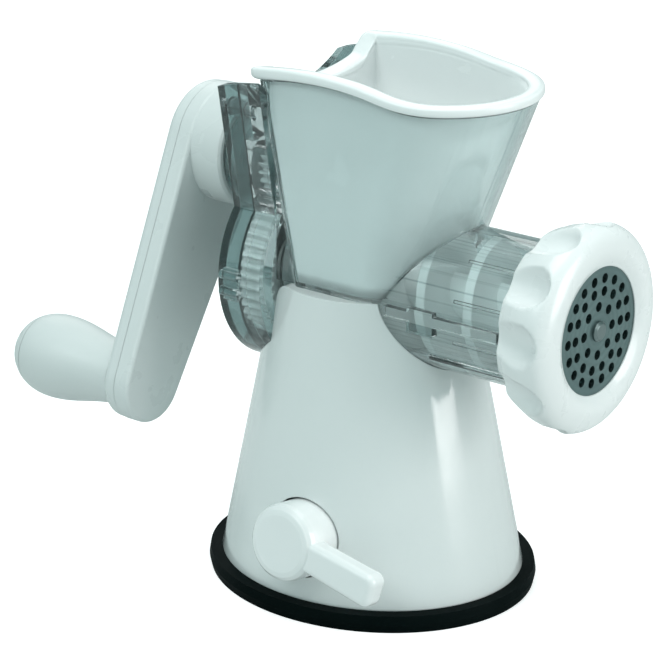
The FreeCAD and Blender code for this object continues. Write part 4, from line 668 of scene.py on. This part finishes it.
def wall_column(low, high, lip, top):
    """Points up one side of the funnel, from the bore through its shoulder and flare to its top."""
    foot = Vector((*low, HOPPER_BOTTOM))
    shoulder = Vector((*high, HOPPER_SHOULDER))
    flare = Vector((*lip, LIP_LEVEL))
    share = (bore_top(low[1]) - HOPPER_BOTTOM) / (HOPPER_SHOULDER - HOPPER_BOTTOM)
    start = foot.lerp(shoulder, share)
    column = [start.lerp(shoulder, i / WALL_STEPS) for i in range(WALL_STEPS)]
    for i in range(FLARE_STEPS + 1):
        height = HOPPER_SHOULDER + (top - HOPPER_SHOULDER) * i / FLARE_STEPS
        spot = shoulder.lerp(flare, min((height - HOPPER_SHOULDER) / (LIP_LEVEL - HOPPER_SHOULDER), 1.0))
        column.append(Vector((spot.x, spot.y, height)))
    return column


def rim_section(inner, outer, under, over):
    """The rim's outline at one place: a soft box between its inner and outer edge."""
    middle = Vector(((inner[0] + outer[0]) / 2, (inner[1] + outer[1]) / 2, (under + over) / 2))
    across = Vector(((outer[0] - inner[0]) / 2, (outer[1] - inner[1]) / 2, 0.0))
    ring = []
    for i in range(RIM_STEPS):
        turn = 2 * math.pi * i / RIM_STEPS
        wide = math.copysign(abs(math.cos(turn)) ** RIM_ROUNDNESS, math.cos(turn))
        tall = math.copysign(abs(math.sin(turn)) ** RIM_ROUNDNESS, math.sin(turn)) * (over - under) / 2
        ring.append(middle + across * wide + Vector((0, 0, tall)))
    return ring


def make_hopper():
    """The hopper insert: its wall, up the inside and down the outside, and the rim round its mouth."""
    outside = [funnel_loop(*section) for section in (OUTSIDE_LOW, OUTSIDE_HIGH, OUTSIDE_LIP)]
    inside = [funnel_loop(*section) for section in (INSIDE_LOW, INSIDE_HIGH, INSIDE_LIP)]
    strips = []
    rings = []
    places = zip(funnel_loop(*RIM_INSIDE), funnel_loop(*RIM_OUTSIDE), rear_places())
    for i, (inner, outer, at_rear) in enumerate(places):
        under, over = rim_span((inner[0] + outer[0]) / 2, (inner[1] + outer[1]) / 2, at_rear)
        top = (under + over) / 2
        up_inside = wall_column(*(loop[i] for loop in inside), top)
        up_outside = wall_column(*(loop[i] for loop in outside), top)
        strips.append(up_inside + list(reversed(up_outside)))
        rings.append(rim_section(inner, outer, under, over))
    build = bmesh.new()
    grid_mesh(build, strips)
    grid_mesh(build, rings)
    new_piece("hopper_funnel", build, "hopper_white", "hopper", "hopper_insert")


make_ring_nut()
make_hopper()

# Stage: floor, world, lamps and camera, in metres, watts and degrees.

FLOOR_HALF = 3.0
FLOOR_NEAR = -3.0
FLOOR_FAR = 2.0
FLOOR_SWEEP = 1.2
FLOOR_SWEEP_STEPS = 12
FLOOR_TOP = 4.0
FLOOR_AZIMUTH = 38.1
FLOOR_GREY = (0.62, 0.635, 0.63)
FLOOR_PALE = (0.66, 0.67, 0.67)
FLOOR_GLOW = 0.70
ROOM_COLOUR = (0.66, 0.95, 0.94)
ROOM_LIGHT = 0.42
LAMP_AIM = Vector((0.0, 0.0, 0.11))
# Azimuth, elevation, distance, width, height, power and colour of each lamp.
SOFTBOXES = {
    "right_box": (104.0, 10.0, 1.5, 0.75, 0.80, 9.2, (1.0, 0.985, 0.975)),
    "front_box": (-8.0, 40.0, 2.0, 1.4, 1.0, 11.0, (0.92, 1.0, 0.99)),
    "top_box": (60.0, 84.0, 1.4, 1.0, 1.0, 11.0, (0.97, 1.0, 1.0)),
    "rear_box": (228.0, 30.0, 2.0, 1.2, 1.0, 4.5, (1.0, 0.99, 0.98)),
}
CAMERA_AIM = Vector((-0.01945, 0.0, 0.09658))
CAMERA_AZIMUTH = 38.11
CAMERA_ELEVATION = 20.18
CAMERA_DISTANCE = 1.1349
CAMERA_NEAREST = 0.05
FOCAL_PIXELS = 2800.0
IMAGE_PIXELS = 669.0
SENSOR_MM = 36.0


def floor_paper():
    """Pale paper that takes the object's shadow; a glow that only the camera sees brings it to white."""
    material, tree, shader, output = new_material("floor_paper")
    where = tree.nodes.new("ShaderNodeTexCoord").outputs["Object"]
    soft = noise(tree, where, scale=3.0)
    join(tree, mix_colour(tree, soft, opaque(FLOOR_GREY), opaque(FLOOR_PALE)), shader.inputs["Base Color"])
    shader.inputs["Roughness"].default_value = 0.9
    shader.inputs["Specular IOR Level"].default_value = 0.1
    glow = add(tree, "ShaderNodeEmission", Color=WHITE, Strength=FLOOR_GLOW)
    lifted = tree.nodes.new("ShaderNodeAddShader")
    join(tree, shader.outputs[0], lifted.inputs[0])
    join(tree, glow.outputs[0], lifted.inputs[1])
    path = tree.nodes.new("ShaderNodeLightPath")
    choose_shader(tree, path.outputs["Is Camera Ray"], shader, lifted, output)
    return material


def make_floor():
    """A wide sheet of paper that rises behind the object in one sweep."""
    line = [(FLOOR_NEAR, 0.0), (FLOOR_FAR, 0.0)]
    for i in range(1, FLOOR_SWEEP_STEPS + 1):
        turn = math.pi / 2 * i / FLOOR_SWEEP_STEPS
        line.append((FLOOR_FAR + FLOOR_SWEEP * math.sin(turn), FLOOR_SWEEP * (1 - math.cos(turn))))
    line.append((FLOOR_FAR + FLOOR_SWEEP, FLOOR_TOP))
    view = math.radians(FLOOR_AZIMUTH)
    along = Vector((-math.sin(view), math.cos(view), 0.0))
    across = Vector((math.cos(view), math.sin(view), 0.0))
    build = bmesh.new()
    rows = []
    for forward, height in line:
        middle = along * forward + Vector((0.0, 0.0, height))
        rows.append([build.verts.new(middle + across * side) for side in (-FLOOR_HALF, FLOOR_HALF)])
    for low, high in zip(rows, rows[1:]):
        build.faces.new((low[0], low[1], high[1], high[0])).smooth = True
    mesh = bpy.data.meshes.new("floor")
    build.to_mesh(mesh)
    build.free()
    mesh.materials.append(floor_paper())
    floor = bpy.data.objects.new("floor", mesh)
    bpy.context.scene.collection.objects.link(floor)


def make_world():
    """Soft light from all round; the camera, and what is seen through clear plastic, shows white instead."""
    world = bpy.data.worlds.new("studio")
    bpy.context.scene.world = world
    world.use_nodes = True
    tree = world.node_tree
    tree.nodes.clear()
    output = tree.nodes.new("ShaderNodeOutputWorld")
    light = add(tree, "ShaderNodeBackground", Color=opaque(ROOM_COLOUR), Strength=ROOM_LIGHT)
    backdrop = add(tree, "ShaderNodeBackground", Color=WHITE, Strength=1.0)
    path = tree.nodes.new("ShaderNodeLightPath")
    seen = math_node(tree, "MAXIMUM", path.outputs["Is Camera Ray"], path.outputs["Is Transmission Ray"])
    choose_shader(tree, seen, light, backdrop, output)


def set_up(name, data, aim, azimuth, elevation, distance):
    """A lamp or a camera on a sphere round its aim, turned towards it."""
    a = math.radians(azimuth)
    e = math.radians(elevation)
    out = Vector((math.sin(a) * math.cos(e), -math.cos(a) * math.cos(e), math.sin(e)))
    holder = bpy.data.objects.new(name, data)
    holder.location = aim + out * distance
    holder.rotation_euler = out.to_track_quat("Z", "Y").to_euler()
    bpy.context.scene.collection.objects.link(holder)
    return holder


def make_softbox(name, azimuth, elevation, distance, wide, tall, power, colour):
    """A soft rectangular lamp that faces the object."""
    lamp = bpy.data.lights.new(name, "AREA")
    lamp.shape = "RECTANGLE"
    lamp.size = wide
    lamp.size_y = tall
    lamp.energy = power
    lamp.color = colour
    set_up(name, lamp, LAMP_AIM, azimuth, elevation, distance)


def make_camera():
    """The photograph's view: a long lens, seen from the outlet's near side and a little above."""
    lens = bpy.data.cameras.new("photo_view")
    lens.sensor_width = SENSOR_MM
    lens.lens = FOCAL_PIXELS / IMAGE_PIXELS * SENSOR_MM
    lens.clip_start = CAMERA_NEAREST
    bpy.context.scene.camera = set_up(
        "photo_view", lens, CAMERA_AIM, CAMERA_AZIMUTH, CAMERA_ELEVATION, CAMERA_DISTANCE)


make_floor()
make_world()
for box, values in SOFTBOXES.items():
    make_softbox(box, *values)
make_camera()
bpy.context.scene.view_settings.view_transform = "Standard"
